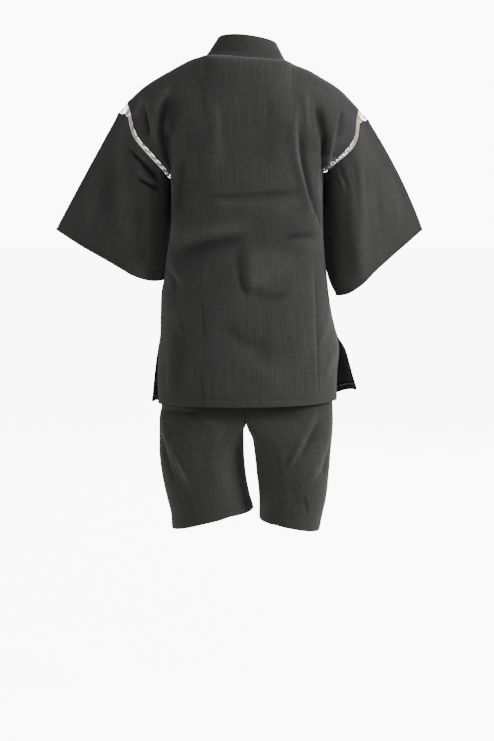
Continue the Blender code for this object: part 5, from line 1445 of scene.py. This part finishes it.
def make_lace(hand, face, name):
    body_at, sleeve_at = lace_edges(hand, face)

    def ends(step):
        step = min(max(step, 0.0), float(ARM_STEPS))
        a, b = body_at(step), sleeve_at(step)
        across = units(b - a)
        ahead = body_at(min(step + 0.2, ARM_STEPS)) - body_at(max(step - 0.2, 0.0))
        out = units(np.cross(across, units(ahead)))
        out = out if out[1] * face > 0 else -out
        deep = out * CLOTH / 2
        return a + across * LACE_GAP - deep, b - across * LACE_GAP - deep, out

    bm = bmesh.new()
    fine = np.linspace(0.02, ARM_STEPS - 0.05, 90)
    for side in (0, 1):
        cord(bm, [ends(step)[side] for step in fine], EDGE_CORD)
    for k in range(ARM_STEPS + 1):
        middle = min(k + 0.20, ARM_STEPS - 0.25)
        radius = FINE_CORD * 1.6 if k == 0 else CROSS_CORD
        for lean, lift in ((0.0, 0.0), (0.26, 0.0006), (-0.26, -0.0006)):
            (a, _, out), (_, b, _) = ends(middle - lean), ends(middle + lean)
            bend = [a + (b - a) * t + out * lift * math.sin(math.pi * t) for t in np.linspace(0, 1, 7)]
            cord(bm, bend, radius, points=10)
    for start in np.arange(0.9, ARM_STEPS - 0.36, NET_STEP):
        for first, last in ((start, start + NET_REACH), (start + NET_REACH, start)):
            cord(bm, spread_out(ends(first)[0], ends(last)[1], 3), NET_CORD, plies=1, points=4)
    for first, last in ((0.05, 0.9), (0.9, 0.05), (0.35, 1.2), (1.1, 0.5), (0.65, 0.3), (0.1, 0.12)):
        a, b = ends(first)[0], ends(last)[1]
        sag = [a + (b - a) * t + np.array((0.0, 0.0, -LACE_SAG)) * math.sin(math.pi * t)
               for t in np.linspace(0, 1, 7)]
        cord(bm, sag, FINE_CORD, plies=1, points=8)
    if face == BACK:
        underarm = panels["sleeve", hand][1][:3, ARM_STEPS * 8]
        side = panels[BACK_CLOTH][1][:, -1 if hand == LEFT else 0]
        for place in np.linspace(0.0, 2.0, 7):
            low = path_at(place, (0, 1, 2), underarm)
            high = side[int(np.argmin(np.abs(side[:, 2] - low[2] - UNDERARM_REACH)))]
            cord(bm, spread_out(high, low, 3), CROSS_CORD, points=6)
    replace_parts(shut(name + "_cord", bm, LACE_STUFF), name)


for hand, word in HANDS:
    make_lace(hand, BACK, "lace_" + word + "_back")
    make_lace(hand, FRONT, "lace_" + word + "_front")


# ---------------------------------------------------------------- stitching on the pieces
def line_at(worn, out, distance, axis=0, from_end=False):
    """The line of a panel at a distance from one of its edges."""
    if axis == 1:
        worn, out = worn.transpose(1, 0, 2), out.transpose(1, 0, 2)
    if from_end:
        worn, out = worn[::-1], out[::-1]
    run = distances(worn, 0)
    path, away = np.zeros((worn.shape[1], 3)), np.zeros((worn.shape[1], 3))
    for j in range(worn.shape[1]):
        for k in range(3):
            path[j, k] = np.interp(distance, run[:, j], worn[:, j, k])
            away[j, k] = np.interp(distance, run[:, j], out[:, j, k])
    return path, units(away)


HEM_SKIP = 3             # lowest rows, where the stitches of the sides don't start yet
COLLAR_LINE, COLLAR_EDGE_LINE = 0.0035, 0.0025
OVERCAST = (0.0008, 0.0018)      # below the hem's stitches, inside
slit_top = int(np.argmin(np.abs(panels[BACK_CLOTH][3] - SLIT_ROW)))


def body_lines(worn, out, top, distance):
    """Stitches of the hem and of one slit, then of the other slit or free edge up to top."""
    near, far = ((worn[HEM_SKIP:end], out[HEM_SKIP:end]) for end in (slit_top, top))
    return [line_at(worn, out, BODY_HEM), line_at(*near, SLIT_HEM, axis=1),
            line_at(*far, distance, axis=1, from_end=True)]


stitching("back_stitching", body_lines(*panels[BACK_CLOTH][1:3], slit_top, SLIT_HEM), THREAD_STUFF)
for hand, word in HANDS:
    _, worn, out, _, _, end_row = panels["front", hand]
    stitching("front_" + word + "_stitching", body_lines(worn, out, end_row, BODY_HEM), THREAD_STUFF)
    cuff = line_at(*panels["sleeve", hand][1:3], CUFF_HEM, from_end=True)
    stitching("sleeve_" + word + "_stitching", [cuff], THREAD_STUFF)
    leg_hem = line_at(*panels["leg", hand][1:3], LEG_HEM_DEEP)
    stitching("leg_" + word + "_stitching", [leg_hem], THREAD_STUFF)
stitching("collar_stitching", [line_at(collar_worn, collar_out, COLLAR_LINE, axis=1),
                               line_at(collar_worn, collar_out, COLLAR_EDGE_LINE, axis=1, from_end=True)],
          THREAD_STUFF)

# the turned-up edge inside each front is overcast with pale thread
for hand, word in HANDS:
    worn, out = panels["front", hand][1:3]
    inner = [line_at(worn - out * HEM_WALL, -out, BODY_HEM - below) for below in OVERCAST]
    stitching("front_" + word + "_overcasting", inner, PALE_THREAD)

# ---------------------------------------------------------------- camera, light and floor
CAMERA_PLACE = (0.0, 3.4, -0.33)
CAMERA_AIM = (0.0, 0.0, -0.6864)
LENS, SENSOR = 75.49, 36.0
FLOOR_Z, FLOOR_HALF = -1.441, 40.0
LAMP_AIM = (0.0, 0.0, -0.55)


def look(thing, place, aim):
    thing.location = place
    thing.rotation_euler = (Vector(aim) - Vector(place)).to_track_quat("-Z", "Y").to_euler()


eye = bpy.data.cameras.new("camera")
eye.lens = LENS
eye.sensor_fit = "VERTICAL"
eye.sensor_height = SENSOR
camera = bpy.data.objects.new("camera", eye)
bpy.context.scene.collection.objects.link(camera)
look(camera, CAMERA_PLACE, CAMERA_AIM)
bpy.context.scene.camera = camera

LAMPS = (("key", (-3.2, 1.1, 0.9), 1.0, 205.0), ("fill", (2.6, 2.4, 0.2), 2.2, 58.0),
         ("front", (-1.2, -3.4, 0.9), 2.6, 90.0), ("top", (-0.5, 2.2, 2.7), 1.0, 50.0))
for name, place, size, watts in LAMPS:
    lamp = bpy.data.lights.new(name, "AREA")
    lamp.energy = watts
    lamp.size = size
    light = bpy.data.objects.new(name, lamp)
    bpy.context.scene.collection.objects.link(light)
    look(light, place, LAMP_AIM)

AMBIENT, BACKDROP, FLOOR_SHARE = 0.21, 10.0, 0.9


def seen_brighter(tree, plain, seen):
    """A strength that is plain for the light it gives and higher where it is seen itself."""
    path = tree.nodes.new("ShaderNodeLightPath")
    scale = tree.nodes.new("ShaderNodeMapRange")
    scale.inputs["To Min"].default_value = plain
    scale.inputs["To Max"].default_value = seen
    tree.links.new(path.outputs["Is Camera Ray"], scale.inputs["Value"])
    return scale.outputs["Result"]


sky = bpy.data.worlds.new("studio")
sky.use_nodes = True
sky_light = sky.node_tree.nodes["Background"]
sky_light.inputs["Color"].default_value = (1.0, 1.0, 1.0, 1.0)
sky.node_tree.links.new(seen_brighter(sky.node_tree, AMBIENT, BACKDROP), sky_light.inputs["Strength"])
bpy.context.scene.world = sky

floor_bm = bmesh.new()
bmesh.ops.create_grid(floor_bm, x_segments=1, y_segments=1, size=FLOOR_HALF,
                      matrix=Matrix.Translation((0, 0, FLOOR_Z)))
floor_stuff, floor_tree, floor_skin = bare_material("pale_floor")
floor_skin["Base Color"].default_value = (0.80, 0.80, 0.79, 1.0)
floor_skin["Roughness"].default_value = 0.9
floor_skin["Emission Color"].default_value = (0.97, 1.0, 0.96, 1.0)
floor_tree.links.new(seen_brighter(floor_tree, 0.0, BACKDROP * FLOOR_SHARE), floor_skin["Emission Strength"])
shut("floor", floor_bm, floor_stuff)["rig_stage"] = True


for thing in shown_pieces():
    if "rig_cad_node" not in thing and body_of(thing) is None:
        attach(thing, "root")
